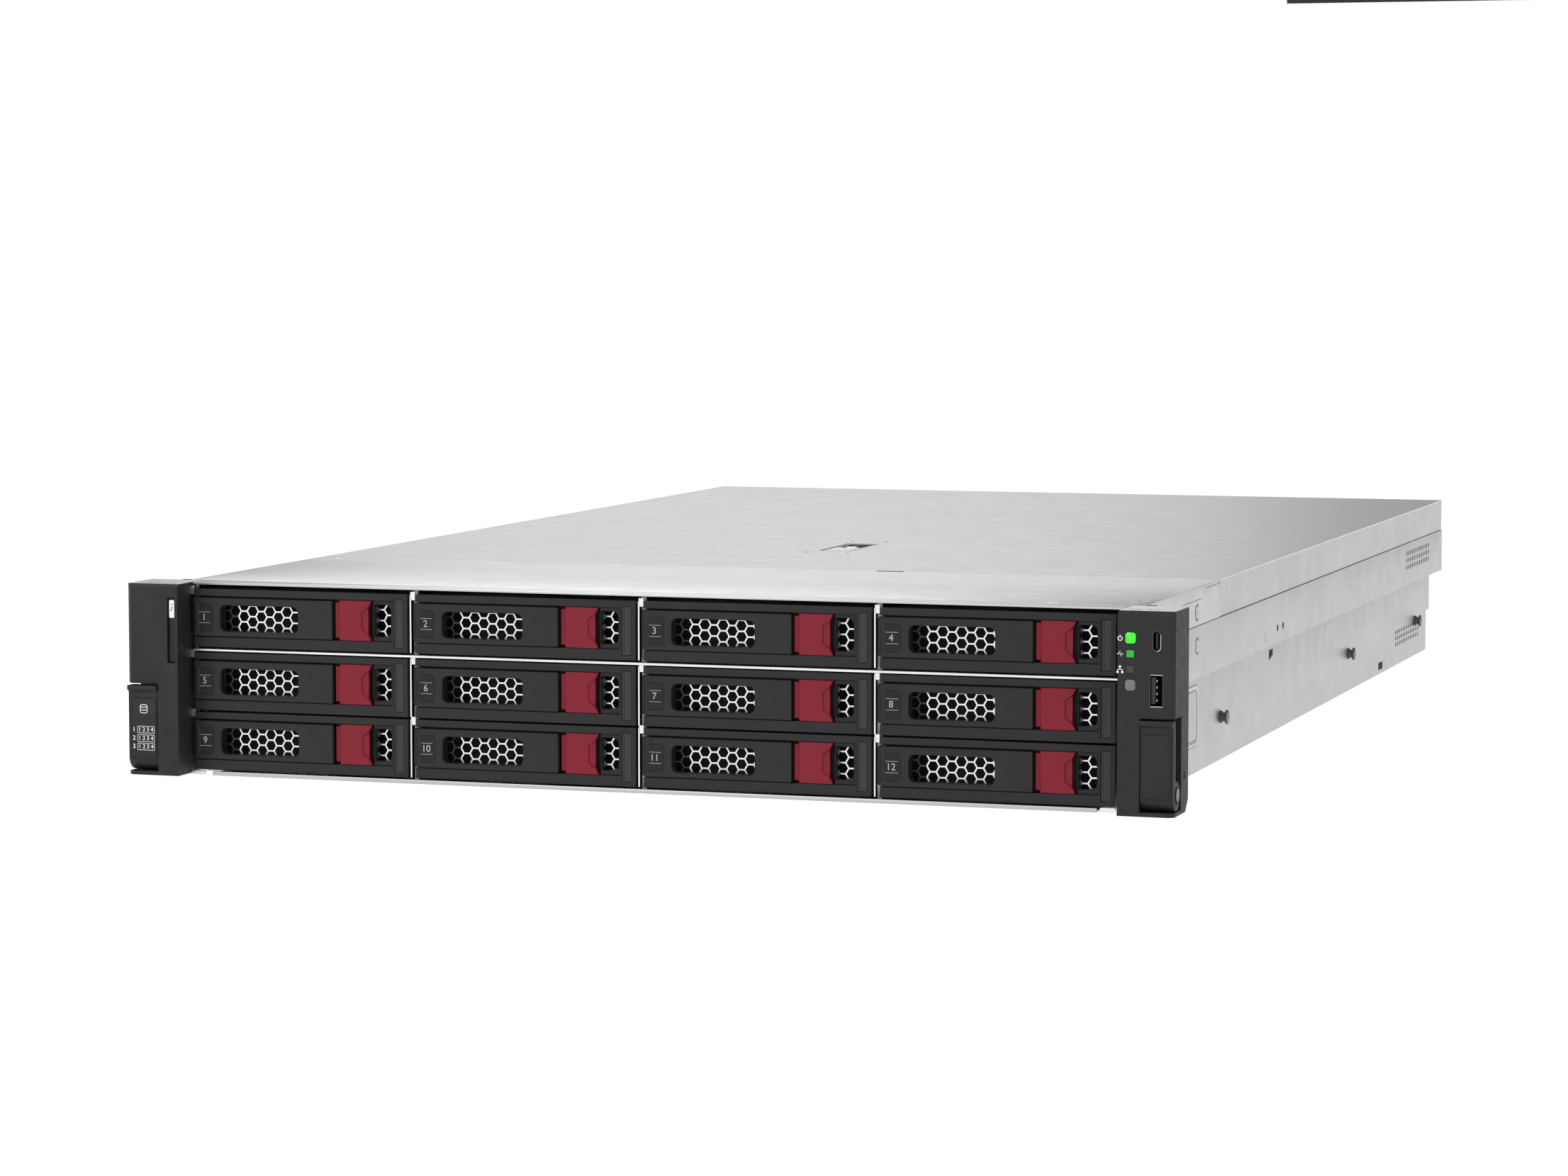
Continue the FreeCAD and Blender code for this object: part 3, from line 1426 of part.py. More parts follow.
def riser_cages():
    """Three riser frames, each with its stack of slot covers behind the rear wall."""
    rear = "body_length - sheet * 2"
    parts = []
    for bank in range(3):
        start = bank_start(bank)
        foot = supply_bay_top() + " + sheet" if bank == 2 else board_top()
        shape = [
            (start, foot),
            (start + " + sheet", foot),
            (start + " + sheet", "riser_top - sheet"),
            (start + " + slot_span - sheet", "riser_top - sheet"),
            (start + " + slot_span - sheet", foot),
            (start + " + slot_span", foot),
            (start + " + slot_span", "riser_top"),
            (start, "riser_top"),
        ]
        frame = body("riser_frame_%d_body" % (bank + 1))
        pad(frame, "riser_frame_%d" % (bank + 1), "XZ", (rear + " - riser_length", rear), [shape])
        parts.append(frame)
        for slot in range(bank_rows(bank)):
            base = "%s + slot_pitch * %d" % (bank_base(bank), slot)
            parts.append(box("slot_cover_%d_%d" % (bank + 1, slot + 1), (start, start + " + slot_span"),
                             (rear, rear + " + sheet"), (base, base + " + slot_frame")))
    node("riser_cages", group("riser_set", parts))


def power_supply(label, index):
    """A hot-plug supply with a loop handle, a mains inlet and a sunk fan guard."""
    made = body(label + "_body")
    left = "(" + supply_left(index) + ")"
    base = "sheet + supply_gap"
    rear = "supply_start + supply_length + supply_proud"
    across = (left, left + " + supply_width")
    case = rectangle(across, (base, base + " + supply_height"))
    pad(made, label + "_case", "XZ", (rear + " - supply_length", rear), [case])
    inlet_left = left + " + supply_width - inlet_in - inlet_width"
    inlet_base = base + " + 0.5 * supply_height - 0.5 * inlet_height"
    inlet = bevelled((inlet_left, inlet_left + " + inlet_width"), (inlet_base, inlet_base + " + inlet_height"),
                     "inlet_bevel", "cd")
    pocket(made, label + "_inlet", "XZ", (rear + " - inlet_depth", rear + " + sheet"), [inlet])
    post = "(%s + handle_in)" % left
    foot = "(%s + handle_low)" % base
    loop = [
        (rear + " - sheet", foot),
        (rear + " + handle_reach", foot),
        (rear + " + handle_reach", foot + " + handle_height"),
        (rear + " - sheet", foot + " + handle_height"),
        (rear + " - sheet", foot + " + handle_height - handle_bar"),
        (rear + " + handle_reach - handle_bar", foot + " + handle_height - handle_bar"),
        (rear + " + handle_reach - handle_bar", foot + " + handle_bar"),
        (rear + " - sheet", foot + " + handle_bar"),
    ]
    pad(made, label + "_handle", "YZ", (post, post + " + handle_width"), [loop])
    node(label, made)


def check_document():
    """Stop if any object failed or any sub-part has no sound shape."""
    doc.recompute()
    for item in doc.Objects:
        if "Invalid" in item.State or "Error" in item.State:
            raise RuntimeError(item.Name + " failed: " + str(item.State))
    for item in NODES:
        if item.Shape.isNull() or not item.Shape.isValid() or not item.Shape.Solids:
            raise RuntimeError(item.Label + " has no sound shape")


def write_parts():
    os.makedirs("parts", exist_ok=True)
    for item in NODES:
        item.Shape.exportStep("parts/%s.step" % item.Label)


chassis()
drive_cage()
access_panel()
hood_latch()
left_ear()
right_ear()
grip("left")
grip("right")
rail_studs()
drives()
fans()
system_board()
network_jacks()
riser_cages()
power_supply("power_supply_1", 0)
power_supply("power_supply_2", 1)
check_document()
write_parts()
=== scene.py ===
import math

import bmesh
import bpy
from mathutils import Matrix, Vector


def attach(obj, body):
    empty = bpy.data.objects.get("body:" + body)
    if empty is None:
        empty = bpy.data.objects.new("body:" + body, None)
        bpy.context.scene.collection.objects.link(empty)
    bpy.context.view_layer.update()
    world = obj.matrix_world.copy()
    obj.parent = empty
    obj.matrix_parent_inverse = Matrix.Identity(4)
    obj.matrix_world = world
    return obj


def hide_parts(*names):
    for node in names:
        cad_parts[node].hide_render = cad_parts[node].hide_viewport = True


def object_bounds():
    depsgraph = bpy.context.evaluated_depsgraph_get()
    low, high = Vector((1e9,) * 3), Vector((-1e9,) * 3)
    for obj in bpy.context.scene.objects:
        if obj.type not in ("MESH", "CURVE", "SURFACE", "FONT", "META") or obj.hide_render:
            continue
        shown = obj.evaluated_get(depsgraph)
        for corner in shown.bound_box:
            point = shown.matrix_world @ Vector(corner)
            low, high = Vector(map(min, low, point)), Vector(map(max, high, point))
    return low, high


# Looks of a two-unit rack server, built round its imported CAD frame. Lengths are written in
# millimetres and turned into metres by MM. X runs across the front, Y to the rear and Z up.

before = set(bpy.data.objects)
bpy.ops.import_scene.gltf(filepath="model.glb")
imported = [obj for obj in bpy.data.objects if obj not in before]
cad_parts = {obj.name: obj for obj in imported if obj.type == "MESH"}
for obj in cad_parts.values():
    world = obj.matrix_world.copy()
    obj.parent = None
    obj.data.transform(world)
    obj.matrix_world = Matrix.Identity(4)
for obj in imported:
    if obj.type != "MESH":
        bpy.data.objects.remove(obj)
cad_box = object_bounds()

MM = 0.001

# Places that the pieces share, in millimetres
COLUMN_PITCH = 107.6
BAY_LEFT = -216.9
ROW_BASES = {"low": 2.2, "middle": 29.2, "high": 57.8}
COLUMNS = 4
TOP = 87.0

# Drive front, measured from the left edge and foot of a bay
BEZEL = (2.9, 106.9, 0.2, 26.4)
WELL = (4.9, 23.2)
WELL_END = 90.0
RECESS_END = 99.6
STRIP = (100.5, 104.8, 2.4, 23.9)
LEVER = (1.5, 70.9, 5.2, 22.6)
PIVOT = (4.5, -11.5)
WINDOW = (16.1, 54.2, 7.6, 19.3)
SMALL_WINDOW = (90.6, 98.5, 7.0, 21.4)
LABEL = (3.8, 12.5, 7.6, 19.6)
BUTTON = (71.7, 74.2, 89.6, 5.1, 23.0)
PLATE = (8.3, 101.0, 4.6, 23.2)
COMB_SIDE = 2.8
COMB_RIB = 0.8
COMB_MIDDLE = 14.0
COMB_SHADE = 22.4
DISK = (5.0, 106.6, 0.1, 26.2)
TAB = (0.4, 2.8, 23.8, 27.6)
LEVER_FACE = -14.5
LEVER_ROUND = 3.0
BUTTON_FACE = -13.9

# Levels just proud of the sheets, so that thin marks show
SHELL_MARK = 222.32
TRAY_MARK = 215.02
HOOD_MARK = 221.80
EAR_MARK = -26.72
EAR_TILE_MARK = -26.83
SOCKET_FACE = (749.8, 750.02)

# Ears
EAR_WALL = 241.0
BUTTON_HEIGHTS = (75.7, 55.9)

# Rear
SUPPLY_LEFT = -213.7
SUPPLY_PITCH = 75.1
SUPPLY_FACE = 750.5
FAN_PLACE = (21.5, 21.0)
JACK_RIGHT = 180.4
JACK_PITCH = 19.0
JACKS = 5
USB_LEFTS = (35.5, 50.8)

# Camera, solved from the photograph
EYE = (649.2, -1807.4, 247.9)
TARGET = (65.4, 0.0, 96.4)
FOCAL_PIXELS = 6196.7
FRAME_PIXELS = (2212, 1659)
CENTRE_PIXELS = (1118.8, 810.5)
SENSOR = 36.0


def bay(column, row):
    """Left edge and foot of a drive bay."""
    return BAY_LEFT + COLUMN_PITCH * column, ROW_BASES[row]


# Materials


class Paint:
    """Builds one procedural material round a Principled shader."""

    def __init__(self, name, base, roughness, metallic=0.0, specular=0.5):
        self.material = bpy.data.materials.new(name)
        self.material.use_nodes = True
        self.tree = self.material.node_tree
        self.shader = self.tree.nodes["Principled BSDF"]
        self.base = base
        self.roughness = roughness
        self.shader.inputs["Base Color"].default_value = (*base, 1.0)
        self.shader.inputs["Roughness"].default_value = roughness
        self.shader.inputs["Metallic"].default_value = metallic
        self.shader.inputs["Specular IOR Level"].default_value = specular

    def add(self, kind, **values):
        made = self.tree.nodes.new(kind)
        for name, value in values.items():
            if hasattr(made, name):
                setattr(made, name, value)
            else:
                made.inputs[name.replace("_", " ")].default_value = value
        return made

    def noise(self, scale, detail=2.0, stretch=(1.0, 1.0, 1.0)):
        """Noise in object coordinates, in cycles per metre."""
        place = self.add("ShaderNodeTexCoord")
        mapping = self.add("ShaderNodeMapping")
        mapping.inputs["Scale"].default_value = stretch
        made = self.add("ShaderNodeTexNoise", Scale=scale, Detail=detail)
        self.tree.links.new(place.outputs["Object"], mapping.inputs["Vector"])
        self.tree.links.new(mapping.outputs["Vector"], made.inputs["Vector"])
        return made.outputs["Fac"]

    def ramp(self, source, low, high, start=0.3, end=0.7):
        made = self.add("ShaderNodeMapRange")
        made.inputs["From Min"].default_value = start
        made.inputs["From Max"].default_value = end
        made.inputs["To Min"].default_value = low
        made.inputs["To Max"].default_value = high
        self.tree.links.new(source, made.inputs["Value"])
        return made.outputs["Result"]

    def vary_colour(self, source, spread):
        """Let the base colour drift by a share of itself."""
        made = self.add("ShaderNodeMix", data_type="RGBA")
        made.inputs["A"].default_value = (*[c * (1 - spread) for c in self.base], 1.0)
        made.inputs["B"].default_value = (*[min(1.0, c * (1 + spread)) for c in self.base], 1.0)
        self.tree.links.new(source, made.inputs["Factor"])
        self.tree.links.new(made.outputs["Result"], self.shader.inputs["Base Color"])
        return self

    def vary_roughness(self, source, spread):
        result = self.ramp(source, self.roughness - spread, self.roughness + spread)
        self.tree.links.new(result, self.shader.inputs["Roughness"])
        return self

    def bump(self, source, depth, strength=1.0):
        made = self.add("ShaderNodeBump")
        made.inputs["Strength"].default_value = strength
        made.inputs["Distance"].default_value = depth * MM
        self.tree.links.new(source, made.inputs["Height"])
        self.tree.links.new(made.outputs["Normal"], self.shader.inputs["Normal"])
        return self


def moulded(name, base, roughness, grain=0.02, scale=2600.0, specular=0.45):
    """Moulded plastic with a fine spark-eroded grain."""
    made = Paint(name, base, roughness, specular=specular)
    made.vary_colour(made.noise(40.0, 4.0), 0.12)
    made.vary_roughness(made.noise(180.0, 3.0), 0.05)
    made.bump(made.noise(scale, 3.0), grain, 0.6)
    return made.material


def sheet_metal(name, base, roughness, stretch=(1.0, 0.03, 1.0), grain=0.004):
    """Zinc-plated sheet with faint clouds and a rolled grain."""
    made = Paint(name, base, roughness, metallic=1.0)
    made.vary_colour(made.noise(14.0, 5.0), 0.035)
    made.vary_roughness(made.noise(60.0, 4.0), 0.05)
    made.bump(made.noise(900.0, 3.0, stretch), grain, 0.35)
    return made.material


def lit(name, colour, strength):
    """A lens with light behind it."""
    made = Paint(name, colour, 0.25)
    made.vary_roughness(made.noise(400.0), 0.04)
    made.shader.inputs["Emission Color"].default_value = (*colour, 1.0)
    made.shader.inputs["Emission Strength"].default_value = strength
    return made.material


def lit_cap():
    """The power button: a mottled clear cap with green light behind it."""
    made = Paint("lit_green", (0.03, 0.55, 0.02), 0.3)
    shade = made.noise(900.0, 3.0)
    made.vary_colour(shade, 0.35)
    made.shader.inputs["Emission Color"].default_value = (0.03, 0.60, 0.02, 1.0)
    made.tree.links.new(made.ramp(shade, 0.35, 1.0), made.shader.inputs["Emission Strength"])
    made.bump(made.noise(1400.0, 2.0), 0.08)
    return made.material


def printed(name, base):
    """Thin printed ink."""
    made = Paint(name, base, 0.55)
    made.vary_colour(made.noise(900.0, 3.0), 0.08)
    made.bump(made.noise(2600.0), 0.004, 0.3)
    return made.material


BLACK = moulded("black_plastic", (0.0135, 0.0136, 0.0142), 0.56, specular=0.30)
BLACK_EAR = moulded("ear_plastic", (0.0150, 0.0150, 0.0155), 0.58, specular=0.30)
MAROON = moulded("maroon_plastic", (0.190, 0.0070, 0.020), 0.52, grain=0.012, specular=0.25)
ZINC = sheet_metal("zinc_steel", (0.50, 0.50, 0.505), 0.42)
# Bright steel for real parts, also used as painted highlight: the hood's fold line and the glints on the
# ear's ports.
BRIGHT_STEEL_AND_HIGHLIGHT = sheet_metal("bright_steel_and_highlight", (0.80, 0.80, 0.81), 0.30)
COVER = sheet_metal("cover_steel", (0.56, 0.56, 0.565), 0.40)
# Dark steel for real parts, also used as painted shade: the lines round the side emboss and the rings round
# the screw heads.
DARK_STEEL_AND_SHADE = sheet_metal("dark_steel", (0.10, 0.10, 0.105), 0.38)
FAN_PLASTIC = moulded("fan_plastic", (0.022, 0.022, 0.023), 0.48)
GREEN_LIT = lit_cap()
CLEAR_GREY = moulded("clear_grey", (0.15, 0.155, 0.16), 0.35, grain=0.05, scale=1400.0)
DARK_LENS = moulded("dark_lens", (0.045, 0.046, 0.048), 0.3, grain=0.005)
INK_WHITE = printed("white_ink", (0.92, 0.92, 0.92))
INK_GREY = printed("grey_ink", (0.40, 0.40, 0.40))
BOARD_GREEN = moulded("board_green", (0.012, 0.085, 0.035), 0.45, grain=0.006)
ALUMINIUM = sheet_metal("aluminium", (0.78, 0.78, 0.79), 0.33)
GOLD = sheet_metal("gold_contacts", (0.78, 0.55, 0.18), 0.3)
PORT_BLACK = moulded("port_black", (0.012, 0.012, 0.012), 0.4, grain=0.004)
SHADOW = moulded("shadow", (0.006, 0.006, 0.006), 0.8, grain=0.002)
STRIP_GREY = moulded("strip_grey", (0.026, 0.026, 0.028), 0.45, specular=0.35)
LABEL_BLACK = moulded("label_black", (0.012, 0.012, 0.013), 0.6, specular=0.25)
LAMP_GREEN = lit("lamp_green", (0.0, 0.30, 0.01), 0.6)
PAPER = printed("paper", (0.42, 0.43, 0.44))
COMB_DARK = sheet_metal("comb_shade", (0.07, 0.07, 0.07), 0.5)
LAMP_DARK = moulded("lamp_dark", (0.030, 0.031, 0.034), 0.3, grain=0.004)
DARK_MAROON = moulded("dark_maroon", (0.05, 0.006, 0.010), 0.6, grain=0.004)
STICK_GREEN = moulded("stick_green", (0.010, 0.045, 0.028), 0.42, grain=0.006)
SCREEN_BLUE = moulded("connector_blue", (0.02, 0.06, 0.26), 0.45, grain=0.006)


# Mesh helpers

WELD = 0.002
FLAT_ANGLE = math.radians(1.5)
BEVEL_ANGLE = math.radians(32.0)


def link(name, mesh, material):
    made = bpy.data.objects.new(name, mesh)
    bpy.context.scene.collection.objects.link(made)
    if material is not None:
        mesh.materials.clear()
        mesh.materials.append(material)
    return made


PLANES = {
    "front": (Vector((1, 0, 0)), Vector((0, 0, 1)), Vector((0, -1, 0))),
    "rear": (Vector((-1, 0, 0)), Vector((0, 0, 1)), Vector((0, 1, 0))),
    "top": (Vector((1, 0, 0)), Vector((0, 1, 0)), Vector((0, 0, 1))),
    "right": (Vector((0, 1, 0)), Vector((0, 0, 1)), Vector((1, 0, 0))),
    "left": (Vector((0, -1, 0)), Vector((0, 0, 1)), Vector((-1, 0, 0))),
}


def mirrored(plane):
    """-1 on the planes whose own x runs against the object's axis."""
    return -1 if plane in ("rear", "left") else 1


def rectangle(left, right, low, high, rounds=(0, 0, 0, 0)):
    """A rectangle with rounded corners, anticlockwise from the lower left one."""
    points = []
    corners = ((left, low, 180), (right, low, 270), (right, high, 0), (left, high, 90))
    inward = ((1, 1), (-1, 1), (-1, -1), (1, -1))
    for (x, y, start), (across, up), radius in zip(corners, inward, rounds):
        if radius == 0:
            points.append((x, y))
            continue
        for step in range(5):
            angle = math.radians(start + 90 * step / 4)
            points.append((x + radius * (across + math.cos(angle)), y + radius * (up + math.sin(angle))))
    return points


def disc(x, y, radius, count=24):
    turns = (2 * math.pi * step / count for step in range(count))
    return [(x + radius * math.cos(turn), y + radius * math.sin(turn)) for turn in turns]


def star(x, y, radius):
    """The mouth of a star recess."""
    points = []
    for step in range(24):
        turn = 2 * math.pi * step / 24
        reach = radius * (0.86 + 0.14 * math.cos(6 * turn))
        points.append((x + reach * math.cos(turn), y + reach * math.sin(turn)))
    return points


def set_curve(data, plane, level):
    """Turn a flat curve into a mesh that lies on a plane of the object."""
    mesh = bpy.data.meshes.new_from_object(bpy.data.objects.new("draft", data))
    across, up, normal = PLANES[plane]
    place = Matrix((across, up, normal)).transposed().to_4x4()
    place.translation = Vector([abs(value) for value in normal]) * level * MM
    mesh.transform(place)
    return mesh


def slab_mesh(plane, loops, low, high, edge=0.0):
    """A plate between two levels, with rounded edges. One loop is its outline, others are its holes."""
    data = bpy.data.curves.new("slab", "CURVE")
    data.dimensions = "2D"
    data.fill_mode = "BOTH"
    flip = mirrored(plane)
    for loop in loops:
        spline = data.splines.new("POLY")
        spline.points.add(len(loop) - 1)
        for point, (x, y) in zip(spline.points, loop):
            point.co = (x * flip * MM, y * MM, 0.0, 1.0)
        spline.use_cyclic_u = True
    edge = min(edge, abs(high - low) * 0.45)
    data.extrude = (abs(high - low) / 2 - edge) * MM
    data.bevel_depth = edge * MM
    data.bevel_resolution = 1 if edge > 0.25 else 0
    data.offset = -edge * MM
    return set_curve(data, plane, (low + high) / 2)


def line_mesh(plane, points, width, level, closed=False):
    """A printed line: a flat round cord half sunk in the surface."""
    data = bpy.data.curves.new("line", "CURVE")
    data.dimensions = "3D"
    data.bevel_depth = width * 0.5 * MM
    data.bevel_resolution = 1
    data.use_fill_caps = True
    flip = mirrored(plane)
    spline = data.splines.new("POLY")
    spline.points.add(len(points) - 1)
    for point, (x, y) in zip(spline.points, points):
        point.co = (x * flip * MM, y * MM, 0.0, 1.0)
    spline.use_cyclic_u = closed
    mesh = set_curve(data, plane, 0.0)
    axis = [abs(value) for value in PLANES[plane][2]].index(1)
    for vert in mesh.vertices:
        vert.co[axis] = vert.co[axis] * 0.2 + level * MM
    return mesh


def word_mesh(plane, text, x, y, height, level):
    """Generic digits as thin raised print."""
    data = bpy.data.curves.new("word", "FONT")
    data.body = text
    data.size = height * 1.35 * MM
    data.extrude = 0.02 * MM
    data.align_x = "CENTER"
    data.align_y = "CENTER"
    mesh = set_curve(data, plane, level)
    across, up, normal = PLANES[plane]
    mesh.transform(Matrix.Translation((across * x * mirrored(plane) + up * y) * MM))
    return mesh


def join(meshes):
    """Several meshes as one."""
    whole = bmesh.new()
    for mesh in meshes:
        whole.from_mesh(mesh)
    made = bpy.data.meshes.new("joined")
    whole.to_mesh(made)
    whole.free()
    return made


def blocks_mesh(boxes, edge=0.0):
    """Rows of small blocks, each given by its two corners."""
    return join([slab_mesh("front", [rectangle(low[0], high[0], low[2], high[2])], low[1], high[1], edge)
                 for low, high in boxes])


def tube_mesh(x, y, low, high, radius, count=28):
    """An upright round bar."""
    return slab_mesh("top", [disc(x, y, radius, count)], low, high, 0.1)


def group_mesh(name, body, meshes, material):
    """Several meshes as one piece that rides on a body."""
    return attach(link(name, join(meshes), material), body)


def split_solids(node, merge):
    """The separate solids of a CAD node as meshes, the largest first. Merging joins their flat faces."""
    whole = bmesh.new()
    whole.from_mesh(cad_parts[node].data)
    bmesh.ops.remove_doubles(whole, verts=whole.verts, dist=WELD * MM)
    whole.verts.index_update()
    group = {}
    count = 0
    for vert in whole.verts:
        if vert in group:
            continue
        stack = [vert]
        group[vert] = count
        while stack:
            for edge in stack.pop().link_edges:
                for other in edge.verts:
                    if other not in group:
                        group[other] = count
                        stack.append(other)
        count += 1
    solids = []
    for number in range(count):
        part = whole.copy()
        part.verts.ensure_lookup_table()
        keep = {vert.index for vert, owner in group.items() if owner == number}
        bmesh.ops.delete(part, geom=[v for v in part.verts if v.index not in keep], context="VERTS")
        if merge:
            bmesh.ops.dissolve_limit(part, angle_limit=FLAT_ANGLE, verts=part.verts, edges=part.edges)
        mesh = bpy.data.meshes.new(node)
        part.to_mesh(mesh)
        part.free()
        solids.append(mesh)
    whole.free()
    return sorted(solids, key=lambda mesh: [-round(value, 5) for value in span(mesh)])


def span(mesh):
    """Box volume of a mesh in cubic centimetres, then the height of its middle."""
    low, high = extent(mesh)
    size = high - low
    return size.x * size.y * size.z * 1e6, (low.z + high.z) * 0.5


def extent(mesh):
    """Lowest and highest corner of the box round a mesh, in metres."""
    places = [vert.co for vert in mesh.vertices]
    low = Vector([min(place[i] for place in places) for i in range(3)])
    high = Vector([max(place[i] for place in places) for i in range(3)])
    return low, high


def soften(made, width, segments=2):
    """Round the sharp edges of a piece."""
    for polygon in made.data.polygons:
        polygon.use_smooth = True
    bevel = made.modifiers.new("edges", "BEVEL")
    bevel.width = width * MM
    bevel.segments = segments
    bevel.limit_method = "ANGLE"
    bevel.angle_limit = BEVEL_ANGLE
    bevel.harden_normals = True
    bevel.miter_outer = "MITER_ARC"
    return made


def dress(node, body, width, choose):
    """Stand the solids of a CAD node in for it, each with the material chosen by order or by size.

    Their edges are rounded by the width. With a width of 0 they stay as they are.
    """
    made = []
    for index, mesh in enumerate(split_solids(node, width > 0)):
        if callable(choose):
            low, high = extent(mesh)
            material = choose((high - low) / MM)
        else:
            material = choose[min(index, len(choose) - 1)]
        piece = link("%s_%d" % (node, index + 1), mesh, material)
        if width:
            soften(piece, width)
        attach(piece, body)
        made.append(piece)
    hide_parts(node)
    return made


# Camera, light and floor


def add_camera():
    data = bpy.data.cameras.new("camera")
    data.sensor_width = SENSOR
    data.lens = FOCAL_PIXELS / FRAME_PIXELS[0] * SENSOR
    data.shift_x = (FRAME_PIXELS[0] / 2 - CENTRE_PIXELS[0]) / FRAME_PIXELS[0]
    data.shift_y = (CENTRE_PIXELS[1] - FRAME_PIXELS[1] / 2) / FRAME_PIXELS[0]
    data.clip_end = 60.0
    camera = bpy.data.objects.new("camera", data)
    bpy.context.scene.collection.objects.link(camera)
    eye = Vector(EYE) * MM
    camera.location = eye
    camera.rotation_euler = (Vector(TARGET) * MM - eye).to_track_quat("-Z", "Y").to_euler()
    bpy.context.scene.camera = camera


def add_lamp(name, place, aim, size, power):
    data = bpy.data.lights.new(name, "AREA")
    data.shape = "RECTANGLE"
    data.size, data.size_y = size
    data.energy = power
    lamp = bpy.data.objects.new(name, data)
    bpy.context.scene.collection.objects.link(lamp)
    lamp.location = place
    lamp.rotation_euler = (Vector(aim) - Vector(place)).to_track_quat("-Z", "Y").to_euler()


def add_card(name, place, half, level):
    """An upright grey card behind the object, out of the picture, that the metal mirrors."""
    card = bpy.data.meshes.new(name)
    wide, tall = half
    card.from_pydata([(-wide, 0, -tall), (wide, 0, -tall), (wide, 0, tall), (-wide, 0, tall)], [],
                     [(0, 1, 2, 3)])
    paint = Paint(name + "_card", (0.02, 0.02, 0.02), 0.9, specular=0.0)
    paint.vary_colour(paint.noise(2.0), 0.05)
    paint.shader.inputs["Emission Color"].default_value = (1.0, 1.0, 1.0, 1.0)
    paint.shader.inputs["Emission Strength"].default_value = level
    made = link(name + "_card", card, paint.material)
    made.location = place


def add_studio():
    world = bpy.data.worlds.new("studio")
    bpy.context.scene.world = world
    world.use_nodes = True
    world.node_tree.nodes["Background"].inputs["Color"].default_value = (1.0, 1.0, 1.0, 1.0)
    world.node_tree.nodes["Background"].inputs["Strength"].default_value = 1.0
    add_lamp("key", (-1.25, -1.6, 0.70), (-0.2, 0.0, 0.04), (0.8, 0.6), 8.0)
    add_lamp("top", (-0.8, 2.2, 1.7), (0.0, 0.35, 0.08), (1.0, 0.8), 4.0)
    add_card("right", (1.75, 2.6, 1.72), (2.0, 1.25), 0.02)
    add_card("left", (-3.0, 3.0, 1.9), (1.4, 1.35), 0.25)
    bpy.context.scene.view_settings.view_transform = "Standard"

    floor = bpy.data.meshes.new("floor")
    reach = 12.0
    floor.from_pydata([(-reach, -reach, 0), (reach, -reach, 0), (reach, reach, 0), (-reach, reach, 0)], [],
                      [(0, 1, 2, 3)])
    paint = Paint("floor", (0.06, 0.06, 0.06), 0.9, specular=0.0)
    paint.vary_colour(paint.noise(3.0), 0.02)
    paint.shader.inputs["Emission Color"].default_value = (1.0, 1.0, 1.0, 1.0)
    paint.shader.inputs["Emission Strength"].default_value = 1.0
    made = link("floor", floor, paint.material)
    made.location.z = cad_box[0][2] - 0.0002


add_camera()
add_studio()

# Drive carriers. Each mesh is made once at the corner of a bay and placed twelve times.


